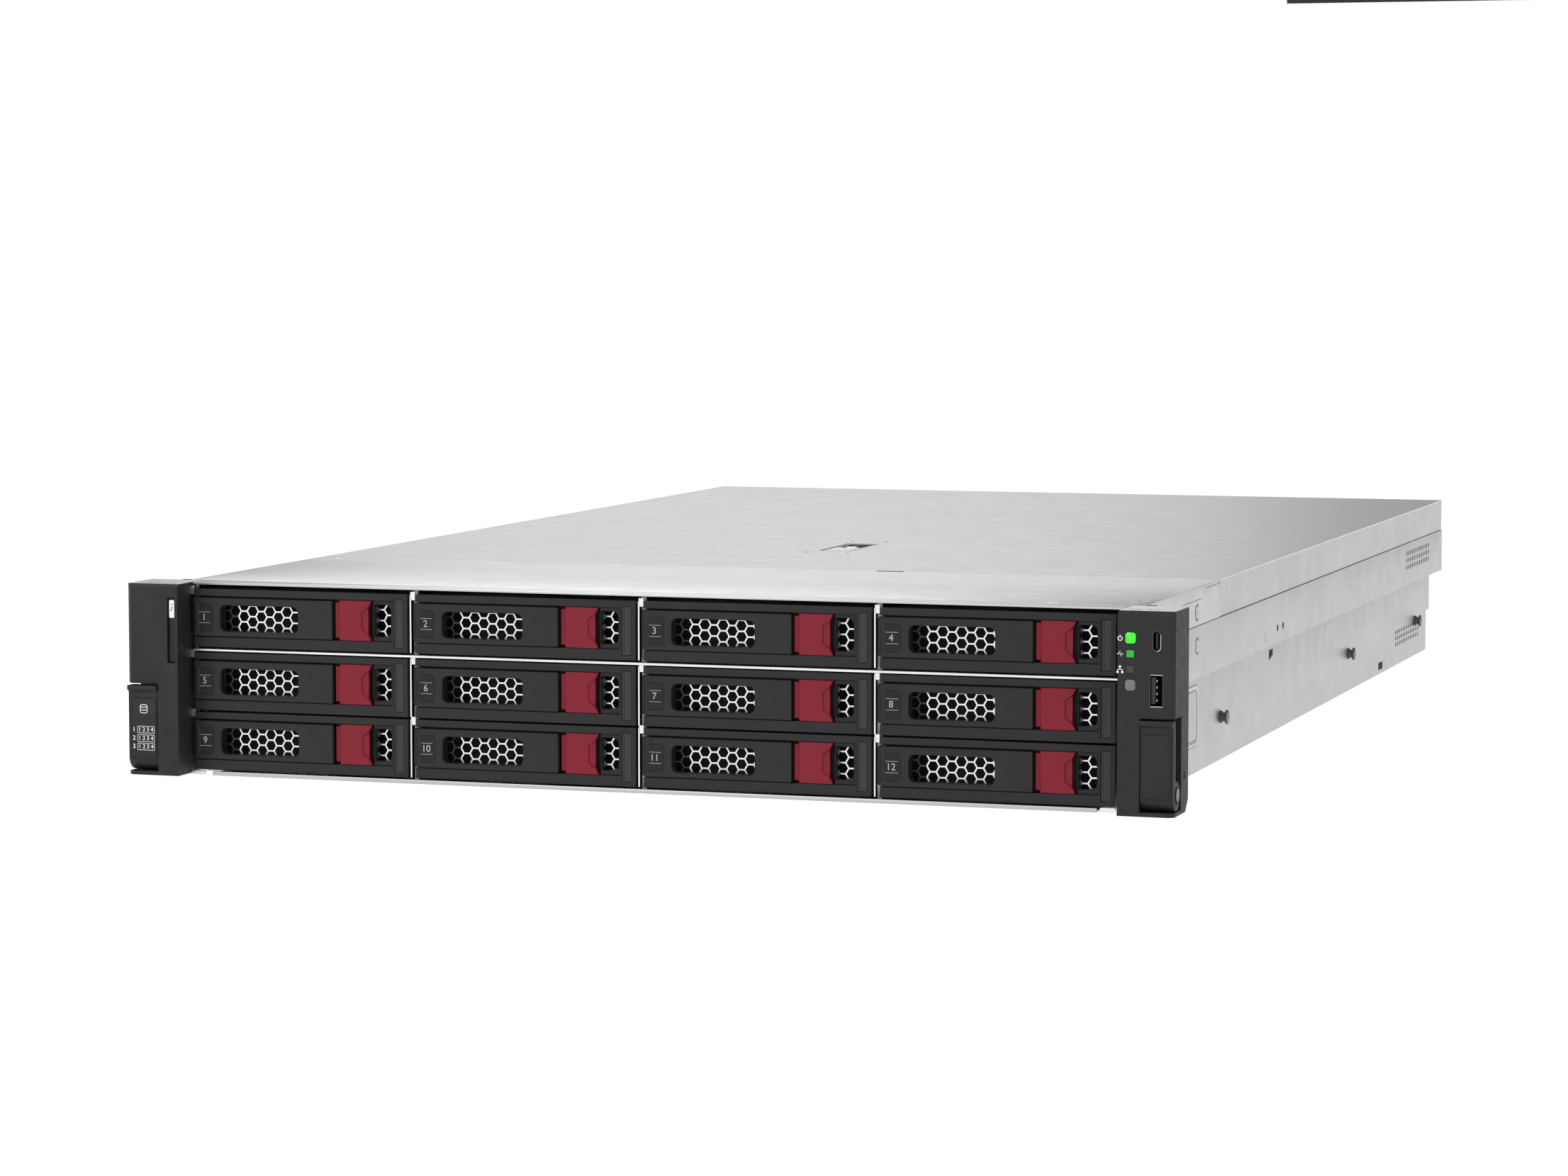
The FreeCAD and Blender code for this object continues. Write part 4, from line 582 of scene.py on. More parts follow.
def carrier_meshes():
    """Bezel, honeycomb, light strip and disk of one carrier, with painted shade behind the grille and on the
    grille's left end.
    """
    left, right, foot, head = BEZEL
    low, high = WELL
    strip = rectangle(*STRIP, rounds=(0.4,) * 4)
    bars = [(left, foot), (right, foot), (right, head), (left, head), (left, high), (RECESS_END, high),
            (RECESS_END, low), (left, low)]
    small = rectangle(*SMALL_WINDOW, rounds=(0.3, 2.6, 2.6, 0.3))
    window = rectangle(WINDOW[0], WINDOW[1] + 0.3, WINDOW[2] - 0.3, WINDOW[3] + 0.3, rounds=(2.4,) * 4)
    black = [
        slab_mesh("front", [bars, strip], -13.7, -3.0, 0.3),
        slab_mesh("front", [rectangle(WELL_END, RECESS_END, low, high), small], -12.6, -8.4, 0.25),
        slab_mesh("front", [rectangle(8.0, WELL_END, low, high), window], -9.5, -8.4, 0.1),
        slab_mesh("front", [rectangle(left, 8.0, low, high)], -8.2, -3.0),
        slab_mesh("front", [rectangle(101.3, RECESS_END, low, high)], -8.4, -3.0),
        slab_mesh("front", [rectangle(3.2, 5.0, 4.0, 22.0)], -3.0, 148.0, 0.2),
        slab_mesh("front", [rectangle(106.6, 107.5, 4.0, 22.0)], -3.0, 148.0, 0.2),
    ]
    for along in (30.0, 74.0, 118.0):
        black.append(slab_mesh("left", [disc(along, 13.0, 2.2)], 3.2, 2.7, 0.15))
    comb_end, comb = honeycomb_mesh()
    return {
        "bezel": (join(black), BLACK),
        "comb": (comb, BRIGHT_STEEL_AND_HIGHLIGHT),
        "comb_end": (comb_end, COMB_DARK),
        "flange": (slab_mesh("front", [rectangle(0.2, 0.85, 0.4, 26.2)], -12.9, -12.5), BRIGHT_STEEL_AND_HIGHLIGHT),
        "strip": (slab_mesh("front", [strip], -13.35, -3.0, 0.15), STRIP_GREY),
        "strip_line": (slab_mesh("front", [rectangle(STRIP[0] + 0.9, STRIP[0] + 1.2, 3.4, 22.9)],
                                 -13.4, -13.2), BLACK),
        "groove": (line_mesh("front", rectangle(91.6, 99.0, 5.8, 22.4, rounds=(0.5,) * 4),
                             0.14, -12.62, True), SHADOW),
        "tab": (slab_mesh("front", [rectangle(*TAB, rounds=(0.3,) * 4)], -12.9, -12.3, 0.15), BRIGHT_STEEL_AND_HIGHLIGHT),
        # A black plate over the disk front behind the grille: painted shade for the dark space seen through
        # the honeycomb.
        "disk_face": (slab_mesh("front", [rectangle(8.2, 101.2, 4.4, 23.4)], 0.3, 0.9), SHADOW),
        "disk": (slab_mesh("front", [rectangle(*DISK, rounds=(1.2,) * 4)], 1.0, 148.0, 0.5), ALUMINIUM),
        "disk_label": (slab_mesh("top", [rectangle(18.0, 94.0, 40.0, 112.0, rounds=(2.0,) * 4)],
                                 26.12, 26.22), PAPER),
        "disk_board": (slab_mesh("front", [rectangle(12.0, 99.0, 4.0, 22.0)], 148.0, 148.6, 0.1),
                       BOARD_GREEN),
    }


def around(x, y, reach, degrees):
    """Points on a circle at the given angles."""
    turns = [math.radians(turn) for turn in degrees]
    return [(x + reach * math.cos(turn), y + reach * math.sin(turn)) for turn in turns]


def hexagon(x, y, reach):
    return around(x, y, reach, range(0, 360, 60))


def half_hexagon(x, y, reach, up):
    return around(x, y, reach, (0, 60, 120, 180) if up else (180, 240, 300, 360))


def honeycomb_mesh():
    """The metal grille, as its shaded left end and the rest.

    Columns of three cells stand between columns of two cells and two halves.
    """
    reach = COMB_SIDE - COMB_RIB / math.sqrt(3)
    rise = COMB_SIDE * math.sqrt(3)
    first = WINDOW[0] + 0.8
    small = SMALL_WINDOW[0] + 1.7
    full = [first + COMB_SIDE * 3 * step for step in range(5)]
    full += [small - COMB_SIDE * 1.5, small + COMB_SIDE * 1.5]
    split = [first + COMB_SIDE * (1.5 + 3 * step) for step in range(4)] + [small]
    loops = [rectangle(*PLATE)]
    for across in full:
        loops += [hexagon(across, COMB_MIDDLE + rise * step, reach) for step in (-1, 0, 1)]
    for across in split:
        loops += [hexagon(across, COMB_MIDDLE + rise * step, reach) for step in (-0.5, 0.5)]
        loops.append(half_hexagon(across, COMB_MIDDLE - rise * 1.5, reach, True))
        loops.append(half_hexagon(across, COMB_MIDDLE + rise * 1.5, reach, False))
    whole = bmesh.new()
    whole.from_mesh(slab_mesh("front", loops, -8.4, -7.6, 0.08))
    bmesh.ops.bisect_plane(whole, geom=whole.verts[:] + whole.edges[:] + whole.faces[:],
                           plane_co=(COMB_SHADE * MM, 0, 0), plane_no=(1, 0, 0))
    parts = []
    for side in (-1, 1):
        part = whole.copy()
        away = [face for face in part.faces if (face.calc_center_median().x - COMB_SHADE * MM) * side < 0]
        bmesh.ops.delete(part, geom=away, context="FACES")
        made = bpy.data.meshes.new("comb")
        part.to_mesh(made)
        part.free()
        parts.append(made)
    whole.free()
    return parts


def lever_meshes():
    """Plate, pin and blank label of one ejector lever."""
    left, right, low, high = LEVER
    face = LEVER_FACE
    outline = rectangle(left + 1.9, right, low, high, rounds=(0.9, 0.5, 0.5, 0.6))
    window = rectangle(*WINDOW, rounds=(2.6,) * 4)
    label = rectangle(*LABEL, rounds=(0.8, 1.6, 1.6, 0.8))
    middle = (LABEL[0] + LABEL[1]) / 2
    rules = [line_mesh("front", [(middle - 3.1, height), (middle + 3.1, height)], 0.2, face + 0.3)
             for height in (LABEL[2] + 3.6, LABEL[2] + 8.5)]
    return {
        "plate": (join([
            slab_mesh("front", [outline, window, label], face, face + 3.0, 0.25),
            slab_mesh("front", [rectangle(LABEL[0] - 0.2, LABEL[1] + 0.2, LABEL[2] - 0.2, LABEL[3] + 0.2)],
                      face + 1.0, face + 2.8),
            slab_mesh("top", [disc(*PIVOT, LEVER_ROUND, 40)], low, high, 1.1),
            slab_mesh("front", [rectangle(56.5, 58.0, 5.9, 21.9)], face + 2.9, face + 3.9, 0.1),
        ]), BLACK),
        "pin": (tube_mesh(PIVOT[0], PIVOT[1], low - 1.9, high + 1.9, 1.0, 16), DARK_STEEL_AND_SHADE),
        "label": (slab_mesh("front", [label], face + 0.35, face + 1.2), LABEL_BLACK),
        "rules": (join(rules), INK_GREY),
    }


def button_meshes():
    """Notched face of one release button, and the line along its notch."""
    left, step, right, low, high = BUTTON
    notch = right - 1.6
    scoop = notch - 3.0
    face = BUTTON_FACE
    bend = [(right, low), (notch, low + 3.0), (scoop, low + 5.1), (scoop, high - 5.1), (notch, high - 3.0),
            (right, high)]
    floor = [(scoop, low + 5.0), (notch, low + 2.9), (notch, high - 2.9), (scoop, high - 5.0)]
    line = line_mesh("front", [(notch, low + 3.0), (scoop + 1.4, low + 4.4), (scoop + 1.4, high - 4.4),
                               (notch, high - 3.0)], 0.16, face + 0.47)
    return {
        "face": (join([
            slab_mesh("front", [[(step, low), *bend, (step, high)]], face, -11.3, 0.25),
            slab_mesh("front", [floor], face + 0.48, -11.3, 0.12),
            slab_mesh("front", [rectangle(left, step + 0.1, low + 1.0, high - 1.0, rounds=(0.5, 0, 0, 0.5))],
                      face + 1.2, -11.3, 0.2),
        ]), MAROON),
        "line": (line, DARK_MAROON),
    }


def dress_drives():
    """Place the shared meshes in the twelve bays, and number the bays from the upper left."""
    sets = (("carrier", carrier_meshes()), ("lever", lever_meshes()), ("button", button_meshes()))
    for number_row, row in enumerate(("high", "middle", "low")):
        for column in range(COLUMNS):
            left, foot = bay(column, row)
            place = Vector((left, 0.0, foot)) * MM
            for kind, meshes in sets:
                node = "drive_%s_%s_%d" % (kind, row, column + 1)
                for name, (mesh, material) in meshes.items():
                    piece = link("%s_%s" % (node, name), mesh, material)
                    piece.location = place
                    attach(piece, node)
                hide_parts(node)
            number = word_mesh("front", str(number_row * COLUMNS + column + 1), left + 8.15, foot + 13.6,
                               3.2, LEVER_FACE + 0.33)
            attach(link("bay_number_%s_%d" % (row, column + 1), number, INK_GREY),
                    "drive_lever_%s_%d" % (row, column + 1))


# Marks on the sheet metal


def vent_meshes(plane, left, low, columns, rows, pitch, rise, slot, level):
    """A field of narrow upright slots, dark, flush with the sheet."""
    made = []
    for row in range(rows):
        for column in range(columns):
            x = left + pitch * column
            y = low + rise * row
            outline = rectangle(x, x + slot[0], y, y + slot[1], rounds=(slot[0] * 0.45,) * 4)
            made.append(slab_mesh(plane, [outline], *level))
    return made


def through(level, sign, proud):
    """From below a side sheet to just proud of it."""
    return level - sign * 0.4, level + sign * proud


def dress_sides():
    """Vents, screws and marks on both sides, with painted shade round the emboss and a painted highlight
    along the hood's side fold. The left side is the mirror of the right one.
    """
    for plane, sign in (("right", 1), ("left", -1)):
        upper, lower = sign * SHELL_MARK, sign * TRAY_MARK
        on_upper, on_lower = through(upper, sign, 0.02), through(lower, sign, 0.02)
        dark = vent_meshes(plane, 632.0, 54.8, 13, 3, 5.9, 3.9, (2.0, 2.7), on_upper)
        dark += vent_meshes(plane, 640.0, 10.6, 13, 3, 5.9, 3.4, (2.0, 2.4), on_lower)
        dark += [slab_mesh(plane, [disc(along, 53.5, 1.7)], *on_upper) for along in (276.0, 289.0)]
        dark.append(slab_mesh(plane, [rectangle(588.0, 600.0, 2.4, 6.4)], *on_lower))
        dark.append(slab_mesh(plane, [[(291.0, 36.0), (300.0, 38.0), (300.0, 41.0), (291.0, 41.0)]],
                              *on_lower))
        group_mesh(plane + "_vents", "chassis", dark, SHADOW)
        marks = [slab_mesh(plane, [disc(along, height, 2.2, 32), disc(along, height, 1.7, 32)],
                           *through(level, sign, 0.12), 0.05)
                 for along, height, level in ((221.0, 51.7, upper), (249.0, 51.2, upper),
                                              (382.0, 54.4, upper), (492.0, 54.7, upper),
                                              (315.0, 39.0, lower), (435.0, 39.5, lower))]
        marks.append(slab_mesh(plane, [rectangle(40.0, 134.0, 12.5, 40.0, rounds=(5.0,) * 4),
                                       rectangle(41.6, 132.4, 14.1, 38.4, rounds=(4.0,) * 4)],
                               *through(lower, sign, 0.25), 0.12))
        group_mesh(plane + "_marks", "chassis", marks, COVER)
        shade = [line_mesh(plane, rectangle(42.4, 131.6, 14.9, 37.6, rounds=(3.4,) * 4), 0.5, lower, True),
                 line_mesh(plane, rectangle(39.7, 134.3, 12.2, 40.3, rounds=(5.2,) * 4), 0.3, lower, True)]
        group_mesh(plane + "_emboss_shade", "chassis", shade, DARK_STEEL_AND_SHADE)
        for index, (along, height) in enumerate(((98.8, 75.8), (99.3, 60.8))):
            screw("%s_screw_%d" % (plane, index), "chassis", plane, along, height, upper, sign, 4.0)
        seams = [line_mesh(plane, [(69.0, 81.3), (107.0, 81.3)], 0.25, upper),
                 line_mesh(plane, [(117.0, 85.4), (146.0, 85.4)], 0.25, upper)]
        group_mesh(plane + "_seams", "chassis", seams, SHADOW)
        # A thin bright steel line along the hood's rounded side fold: a painted highlight.
        fold_highlight = line_mesh(plane, [(147.4, 86.7), (749.6, 86.7)], 0.5, sign * HOOD_MARK)
        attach(link(plane + "_fold", fold_highlight, BRIGHT_STEEL_AND_HIGHLIGHT), "access_panel")


def screw(name, body, plane, x, y, level, sign, radius):
    """A flat screw head with a star recess in a shallow ring. The ring is darkened as painted shade round
    the head, and the recess floor is painted shadow.
    """
    proud = 0.03 if plane == "top" else 0.25
    head = slab_mesh(plane, [disc(x, y, radius * 0.72), star(x, y, radius * 0.36)], level - sign * 0.3,
                     level + sign * proud, 0.02)
    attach(link(name + "_head", head, COVER), body)
    # The dark ring round the head is painted shade.
    ring = slab_mesh(plane, [disc(x, y, radius), disc(x, y, radius * 0.76)], level - sign * 0.3,
                     level + sign * 0.03)
    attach(link(name + "_ring", ring, DARK_STEEL_AND_SHADE), body)
    floor = slab_mesh(plane, [disc(x, y, radius * 0.5)], level - sign * 0.3, level - sign * 0.1)
    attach(link(name + "_floor", floor, SHADOW), body)


def dress_top():
    """Seams, rivets, clip and screws of the cage cover, and the marks on the hood."""
    level = (TOP - 0.3, TOP + 0.02)
    seams = [
        slab_mesh("top", [rectangle(60.0, 73.0, 141.5, 145.2, rounds=(0.6,) * 4)], *level),
        slab_mesh("top", [rectangle(222.3, 226.5, 0.0, 3.2)], *level),
        slab_mesh("top", [rectangle(-226.5, -222.3, 0.0, 3.2)], *level),
        line_mesh("top", [(-221.0, 146.7), (221.0, 146.7)], 0.5, TOP - 0.1),
    ]
    group_mesh("cover_marks", "chassis", seams, SHADOW)
    holes = [slab_mesh("top", [disc(x, y, 1.1, 16)], *level)
             for x, y in ((-7.0, 246.0), (9.5, 327.0), (-7.0, 322.0), (14.0, 246.0))]
    group_mesh("hood_marks", "access_panel", holes, SHADOW)
    rivets = [slab_mesh("top", [disc(x, y, 2.4, 28), disc(x, y, 1.5, 28)], TOP - 0.3, TOP + 0.03)
              for x, y in ((105, 117), (-69, 141), (-111, 116), (-139.5, 14), (-113, 27), (-88, 16),
                           (-35, 13), (25, 14), (28, 5), (104, 24), (129, 5), (181, 3), (-218, 14),
                           (-209, 138), (204, 138))]
    group_mesh("cover_rivets", "chassis", rivets, BRIGHT_STEEL_AND_HIGHLIGHT)
    screw("cover_screw", "chassis", "top", 217.0, 22.0, TOP, 1, 3.4)
    for side in (-1, 1):
        for index, (x, y) in enumerate(((222.5, -20.4), (230.5, -18.6))):
            screw("ear_screw_%d_%d" % (side, index), "chassis", "top", side * x, y, TOP, 1, 2.6)
    label = slab_mesh("top", [rectangle(-3.2, 10.0, 262.0, 283.0, rounds=(0.8,) * 4)], TOP - 0.4,
                      TOP - 0.12)
    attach(link("latch_label", label, COVER), "hood_latch")
    lock = slab_mesh("top", [disc(3.4, 287.5, 3.0, 32), star(3.4, 287.5, 1.6)], TOP - 0.5, TOP - 0.05, 0.1)
    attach(link("latch_lock", lock, BRIGHT_STEEL_AND_HIGHLIGHT), "hood_latch")
    ridge = slab_mesh("top", [rectangle(-200.0, 200.0, 700.0, 712.0, rounds=(5.5,) * 4),
                              rectangle(-198.8, 198.8, 701.2, 710.8, rounds=(4.5,) * 4)],
                      TOP - 0.3, TOP + 0.02, 0.1)
    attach(link("hood_ridge", ridge, ZINC), "access_panel")


# Ears


def dress_ears():
    """Both ears with their levers, steel top plates, pins and holes."""
    dress("left_ear", "chassis", 0.5, [BLACK_EAR, COVER])
    dress("right_ear", "chassis", 0, [BLACK_EAR, STRIP_GREY, PORT_BLACK])
    for side in ("left", "right"):
        dress(side + "_ear_lever", side + "_ear_lever", 0.5, [BLACK_EAR])
    for side, sign in (("left", -1), ("right", 1)):
        inner = 216.1 if sign < 0 else 216.6
        plate = rectangle(*sorted((sign * inner, sign * 240.9)), -24.6, -0.4, rounds=(0.4,) * 4)
        cover = slab_mesh("top", [plate], TOP - 0.6, TOP + 0.02, 0.1)
        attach(link(side + "_ear_top", cover, COVER), "chassis")
        tile = [(sign * x, z) for x, z in rectangle(227.2, 239.2, 8.2, 35.2, rounds=(1.6,) * 4)]
        groove = line_mesh("front", tile, 0.3, EAR_TILE_MARK, True)
        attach(link(side + "_tile_groove", groove, SHADOW), side + "_ear_lever")
        wall = sign * EAR_WALL
        pin = slab_mesh(side, [disc(-18.8, 9.4, 3.1, 32)], wall - sign * 1.2, wall - sign * 0.05, 0.1)
        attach(link(side + "_pin_head", pin, DARK_LENS), "chassis")
        ring = slab_mesh(side, [disc(-18.8, 9.4, 3.35, 32), disc(-18.8, 9.4, 3.1, 32)], wall - sign * 0.6,
                         wall)
        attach(link(side + "_pin_ring", ring, SHADOW), "chassis")
        hole = slab_mesh(side, [disc(-7.0, 16.3, 1.9, 28)], wall - sign * 0.5, wall)
        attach(link(side + "_side_hole", hole, SHADOW), "chassis")


def dress_controls():
    """Icons, lamps and port rims on the right ear, and the cage's flange beside it."""
    face = EAR_MARK
    power = around(217.6, 75.5, 0.95, range(125, 416, 15))
    pulse = [(216.4, 69.0), (217.2, 69.0), (217.6, 70.2), (218.0, 67.9), (218.3, 69.0), (218.9, 69.0)]
    nets = [(216.6, 61.6), (216.6, 62.4), (218.6, 62.4), (218.6, 61.6)]
    icons = [
        line_mesh("front", power, 0.36, face),
        line_mesh("front", [(217.6, 75.7), (217.6, 77.0)], 0.36, face),
        line_mesh("front", pulse, 0.36, face),
        line_mesh("front", nets, 0.32, face),
        line_mesh("front", [(217.6, 62.4), (217.6, 63.4)], 0.32, face),
    ]
    for x, z in ((216.6, 61.3), (218.6, 61.3), (217.6, 63.6)):
        icons.append(slab_mesh("front", [disc(x, z, 0.5, 16)], face - 0.01, face + 0.2))
    group_mesh("control_icons", "chassis", icons, INK_WHITE)
    for name, height, material in (("health", 69.05, LAMP_GREEN), ("network", 62.55, LAMP_DARK)):
        cap = rectangle(220.25, 223.7, height - 1.6, height + 1.6, rounds=(0.5,) * 4)
        lens = slab_mesh("front", [cap], -26.74, -26.0, 0.15)
        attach(link(name + "_lens", lens, material), "chassis")
        edge = line_mesh("front", cap, 0.3, -26.71, True)
        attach(link(name + "_edge", edge, SHADOW), "chassis")
    service = rectangle(231.35, 235.05, 70.3, 79.1, rounds=(1.8,) * 4)
    inner = rectangle(231.75, 234.65, 70.7, 78.7, rounds=(1.4,) * 4)
    rim = slab_mesh("front", [service, inner], -26.78, -20.0, 0.08)
    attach(link("service_rim", rim, DARK_STEEL_AND_SHADE), "chassis")
    right_edge = service[5:11]
    glint = line_mesh("front", right_edge, 0.22, -26.8)
    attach(link("service_glint", glint, BRIGHT_STEEL_AND_HIGHLIGHT), "chassis")
    mouth = rectangle(230.2, 236.2, 46.9, 60.6, rounds=(0.6,) * 4)
    shell = slab_mesh("front", [mouth, rectangle(230.6, 235.8, 47.35, 60.15, rounds=(0.3,) * 4)],
                      -26.75, -14.0, 0.1)
    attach(link("usb_shell", shell, DARK_STEEL_AND_SHADE), "chassis")
    glints = [line_mesh("front", [(230.8, height), (235.9, height)], 0.3, -26.8)
              for height in (47.1, 60.4)]
    group_mesh("usb_glints", "chassis", glints, BRIGHT_STEEL_AND_HIGHLIGHT)
    back = slab_mesh("front", [rectangle(230.7, 235.7, 47.4, 60.1)], -16.2, -15.0)
    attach(link("usb_back", back, SHADOW), "chassis")
    contacts = blocks_mesh([((233.0, -25.2, height), (233.35, -16.0, height + 0.9))
                            for height in (49.2, 52.0, 54.7, 57.4)])
    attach(link("usb_contacts", contacts, GOLD), "chassis")
    caps = []
    for height in BUTTON_HEIGHTS:
        cap = rectangle(219.75, 224.45, height - 2.45, height + 2.45, rounds=(1.0,) * 4)
        caps.append(line_mesh("front", cap, 0.35, -26.71, True))
    group_mesh("button_edges", "chassis", caps, SHADOW)
    flange = slab_mesh("front", [rectangle(215.2, 216.0, 4.0, 86.0)], -12.0, -11.2, 0.1)
    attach(link("right_flange", flange, BRIGHT_STEEL_AND_HIGHLIGHT), "chassis")


def oval(x, y, turns):
    """Points of the flat oval of a disk stack icon."""
    return [(x + 1.7 * math.cos(turn), y + 0.6 * math.sin(turn)) for turn in turns]


def dress_bay_grid():
    """Disk icon and grid of bay numbers on the left ear's lever, and the marks of the information tab."""
    face = EAR_TILE_MARK
    middle, top, foot = -233.0, 31.8, 29.2
    ink = [line_mesh("front", oval(middle, top, [step / 6.0 for step in range(38)]), 0.32, face, True)]
    front_half = [math.pi + step * math.pi / 12 for step in range(13)]
    ink += [line_mesh("front", oval(middle, top + offset, front_half), 0.3, face)
            for offset in (0.0, -1.3, -2.6)]
    ink += [line_mesh("front", [(x, top), (x, foot)], 0.3, face) for x in (-234.7, -231.3)]
    for row, height in ((1, 21.1), (2, 17.2), (3, 13.4)):
        ink.append(word_mesh("front", str(row), -237.9, height, 2.1, face))
        box = rectangle(-236.1, -227.9, height - 1.5, height + 1.5)
        ink.append(line_mesh("front", box, 0.26, face, True))
        for column in range(COLUMNS):
            ink.append(word_mesh("front", str(column + 1), -235.1 + 2.03 * column, height, 1.9, face))
    group_mesh("bay_grid", "left_ear_lever", ink, INK_WHITE)
    card = slab_mesh("front", [rectangle(-220.45, -217.95, 71.9, 79.9, rounds=(0.4,) * 4)],
                     -25.62, -25.4, 0.03)
    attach(link("tab_label", card, INK_WHITE), "information_tab")
    mark = [line_mesh("front", [(-219.7, 74.9), (-219.2, 75.6), (-219.2, 76.4), (-218.8, 76.9)], 0.4,
                      -25.64),
            slab_mesh("front", [disc(-219.0, 77.9, 0.3, 12)], -25.66, -25.5)]
    group_mesh("tab_mark", "information_tab", mark, SHADOW)


def dress_front():
    """Bright bent tabs of the cage, and the folded lip under the lower drives."""
    tabs = [slab_mesh("front", [rectangle(left, right, 0.2, 2.2, rounds=(0.5,) * 4)], -14.2, -13.2, 0.2)
            for left, right in ((-216.0, -209.0), (206.0, 213.0))]
    group_mesh("lip_tabs", "chassis", tabs, BRIGHT_STEEL_AND_HIGHLIGHT)
    lip = slab_mesh("right", [disc(-14.1, 0.95, 0.9, 20)], -204.8, 204.8, 0.05)
    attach(link("lip_bead", lip, BRIGHT_STEEL_AND_HIGHLIGHT), "chassis")
    rail = slab_mesh("front", [rectangle(-214.0, 214.0, 56.15, 57.25)], -14.1, -13.4, 0.2)
    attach(link("shelf_edge", rail, BRIGHT_STEEL_AND_HIGHLIGHT), "chassis")


# Rear


def dress_supplies():
    """Fan guard, inlet pins, lamp and release tab of both power supplies."""
    rear = SUPPLY_FACE
    for index in (1, 2):
        body = "power_supply_%d" % index
        left = SUPPLY_LEFT + SUPPLY_PITCH * (index - 1)
        fan = (left + FAN_PLACE[0], FAN_PLACE[1])
        rings = [line_mesh("rear", disc(*fan, radius, 36), 0.9, rear + 0.1, True)
                 for radius in (4.0, 8.0, 12.0, 16.0)]
        rings += [line_mesh("rear", around(*fan, 17.0, (turn + 180, turn)), 0.9, rear + 0.1)
                  for turn in (45, 135)]
        group_mesh(body + "_guard", body, rings, BRIGHT_STEEL_AND_HIGHLIGHT)
        grille = slab_mesh("rear", [disc(*fan, 17.2, 48)], rear - 0.2, rear + 0.03)
        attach(link(body + "_grille", grille, SHADOW), body)
        pins = blocks_mesh([((left + x, 738.0, z), (left + x + 2.2, 748.5, z + 5.6))
                            for x, z in ((47.5, 14.6), (57.9, 14.6), (52.7, 21.6))], 0.2)
        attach(link(body + "_pins", pins, BRIGHT_STEEL_AND_HIGHLIGHT), body)
        throat = slab_mesh("rear", [rectangle(left + 38.6, left + 65.4, 11.3, 30.8)], 735.6, 735.9)
        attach(link(body + "_throat", throat, PORT_BLACK), body)
        lamp = slab_mesh("rear", [disc(left + 69.6, 33.0, 1.3, 20)], rear - 0.2, rear + 0.3, 0.1)
        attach(link(body + "_lamp", lamp, GREEN_LIT), body)
        release = slab_mesh("rear", [rectangle(left + 67.0, left + 72.0, 5.0, 26.0, rounds=(1.0,) * 4)],
                            rear - 0.2, rear + 3.5, 0.5)
        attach(link(body + "_release", release, MAROON), body)


def dress_rear():
    """Vents of the slot covers, and the faces of the sockets."""
    vents = []
    for start, base, rows in ((98.0, 20.5, 3), (-24.0, 20.5, 3), (-146.0, 43.0, 2)):
        for row in range(rows):
            for column in range(17):
                x = start + 8.0 + column * 5.6
                for step in (0, 1):
                    z = base + 20.3 * row + 6.0 + 5.4 * step
                    vents.append(slab_mesh("rear", [hexagon(x, z, 2.3)], 748.7, 749.02))
    group_mesh("cover_vents", "chassis", vents, SHADOW)
    lefts = [JACK_RIGHT - JACK_PITCH * jack for jack in range(JACKS)]
    ports = [((left + 3.4 + 1.25 * pin, 736.0, 15.4), (left + 3.8 + 1.25 * pin, 748.0, 15.7))
             for left in lefts for pin in range(8)]
    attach(link("jack_contacts", blocks_mesh(ports), GOLD), "chassis")
    lamps = [slab_mesh("rear", [rectangle(x, x + 2.0, 16.9, 18.4)], *SOCKET_FACE, 0.05)
             for left in lefts for x in (left + 0.6, left + 13.0)]
    group_mesh("jack_lamps", "chassis", lamps, GREEN_LIT)
    video = slab_mesh("rear", [[(-7.0, 9.0), (14.0, 9.0), (15.5, 16.0), (-8.5, 16.0)]], *SOCKET_FACE)
    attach(link("video_face", video, SCREEN_BLUE), "chassis")
    pins = [slab_mesh("rear", [disc(-4.5 + 3.9 * step + shift, height, 0.45, 10)], 749.9, 750.02)
            for height, shift in ((10.7, 0.0), (12.5, 1.3), (14.3, 0.0)) for step in range(5)]
    group_mesh("video_pins", "chassis", pins, SHADOW)
    mouths = [slab_mesh("rear", [rectangle(left, left + 12.6, 9.6, 14.8)], *SOCKET_FACE)
              for left in USB_LEFTS]
    group_mesh("usb_faces", "chassis", mouths, PORT_BLACK)
    tongues = [slab_mesh("rear", [rectangle(left + 1.0, left + 11.6, 12.6, 14.2)], 749.9, 750.02)
               for left in USB_LEFTS]
    group_mesh("usb_rear_tongues", "chassis", tongues, SCREEN_BLUE)


# Inside


def board_paint(size):
    """Material of a solid on the system board, from its size in millimetres."""
    if size.z < 2.0:
        return BOARD_GREEN
    if size.z > 55.0 and size.y < 3.0:
        return BOARD_GREEN
    if size.z > 55.0:
        return ALUMINIUM
    if size.x < 2.0:
        return STICK_GREEN
    if size.y > 130.0:
        return PORT_BLACK
    return ZINC


def dress_inside():
    """The nodes under the lid."""
    dress("fan_housings", "chassis", 0.2, [FAN_PLASTIC])
    dress("system_board", "chassis", 0.15, board_paint)
    dress("network_jacks", "chassis", 0.15, [BRIGHT_STEEL_AND_HIGHLIGHT])
    dress("riser_cages", "chassis", 0.15, [ZINC])
    for number in range(1, 7):
        rotor = "fan_rotor_%d" % number
        dress(rotor, rotor, 0.2, [FAN_PLASTIC])
        hub = slab_mesh("front", [disc(70.0 * (number - 3.5), 38.5, 9.5, 36)], 217.85, 218.1, 0.05)
        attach(link(rotor + "_label", hub, INK_GREY), rotor)


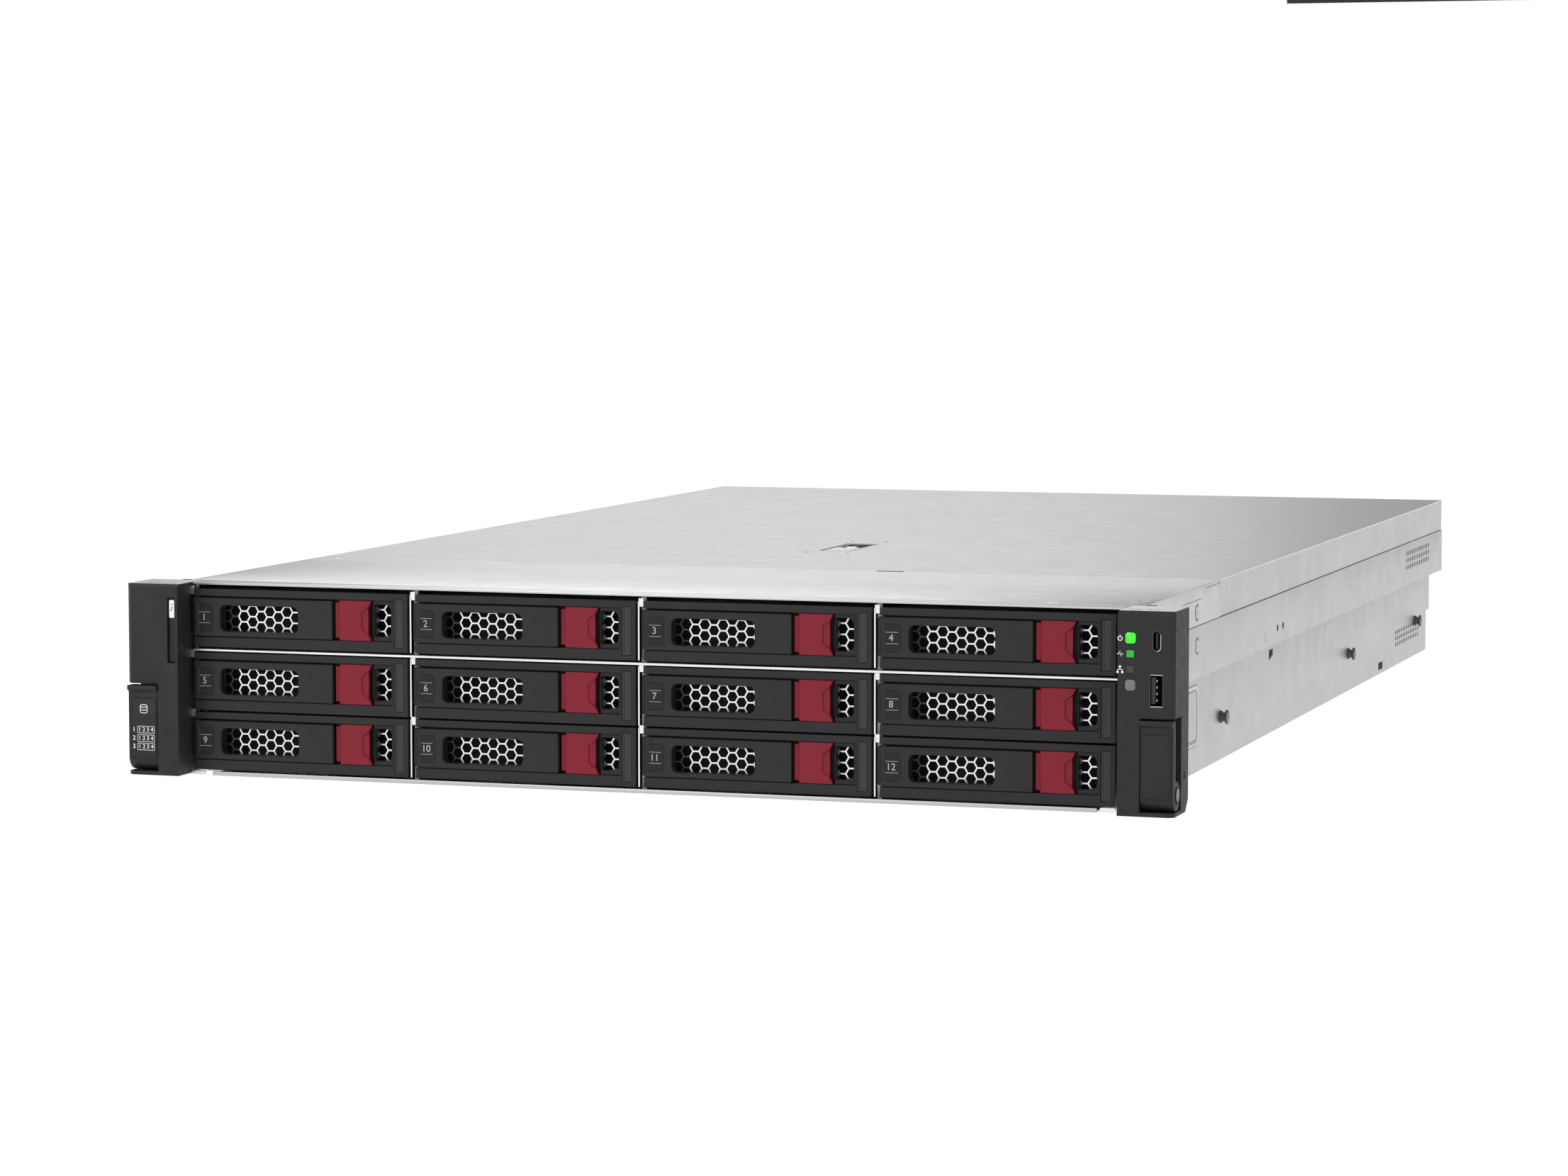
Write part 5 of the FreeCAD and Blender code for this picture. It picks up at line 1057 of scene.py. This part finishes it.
def dress_board():
    """Chips, clips and plugs, which only show with the lid off."""
    chips = []
    keys = []
    for middle in (-105.5, 105.5):
        for direction in (-1, 1):
            for stick in range(6):
                x = middle + direction * (45.0 + 7.8 * stick)
                for chip in range(8):
                    y = 330.0 + 15.6 * chip
                    for side in (-1, 1):
                        near, far = sorted((x + side * 0.7, x + side * 0.7 + side * 0.5))
                        chips.append(((near, y, 20.0), (far, y + 10.0, 36.0)))
                for y in (321.0, 457.0):
                    keys.append(((x - 1.6, y, 11.6), (x + 1.6, y + 3.5, 18.5)))
    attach(link("memory_chips", blocks_mesh(chips), PORT_BLACK), "chassis")
    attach(link("memory_clips", blocks_mesh(keys, 0.3), INK_WHITE), "chassis")
    parts = []
    for step in range(14):
        x = -40.0 + 17.0 * step
        parts.append(((x, 575.0 + 9.0 * (step % 3), 5.6), (x + 8.0, 583.0 + 9.0 * (step % 3), 8.0)))
        parts.append(((-190.0 + 27.0 * step, 296.0, 5.6), (-184.0 + 27.0 * step, 302.0, 9.0)))
    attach(link("board_chips", blocks_mesh(parts, 0.2), PORT_BLACK), "chassis")
    controller = slab_mesh("top", [rectangle(-5.0, 25.0, 620.0, 650.0, rounds=(1.0,) * 4)], 5.6, 12.0, 0.4)
    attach(link("board_controller", controller, ALUMINIUM), "chassis")
    lefts = [-200.0 + COLUMN_PITCH * column for column in range(COLUMNS)]
    plugs = blocks_mesh([((left + 40.0, 152.0, base), (left + 72.0, 156.0, base + 7.0))
                         for left in lefts for base in (12.0, 39.0, 67.0)], 0.3)
    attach(link("backplane_plugs", plugs, PORT_BLACK), "chassis")


dress("chassis", "chassis", 0.3, [ZINC])
dress("drive_cage", "chassis", 0.25, [COVER])
dress("access_panel", "access_panel", 0, [ZINC])
dress("hood_latch", "hood_latch", 0.3, [DARK_LENS])
dress_ears()
dress_controls()
dress_bay_grid()
dress("information_tab", "information_tab", 0.3, [BLACK])
dress("power_button", "power_button", 0.4, [GREEN_LIT])
dress("unit_button", "unit_button", 0.4, [CLEAR_GREY])
dress("rail_studs", "chassis", 0.15, [DARK_STEEL_AND_SHADE])
for supply in ("power_supply_1", "power_supply_2"):
    dress(supply, supply, 0, [ZINC])
dress_drives()
dress_front()
dress_sides()
dress_top()
dress_supplies()
dress_rear()
dress_inside()
dress_board()
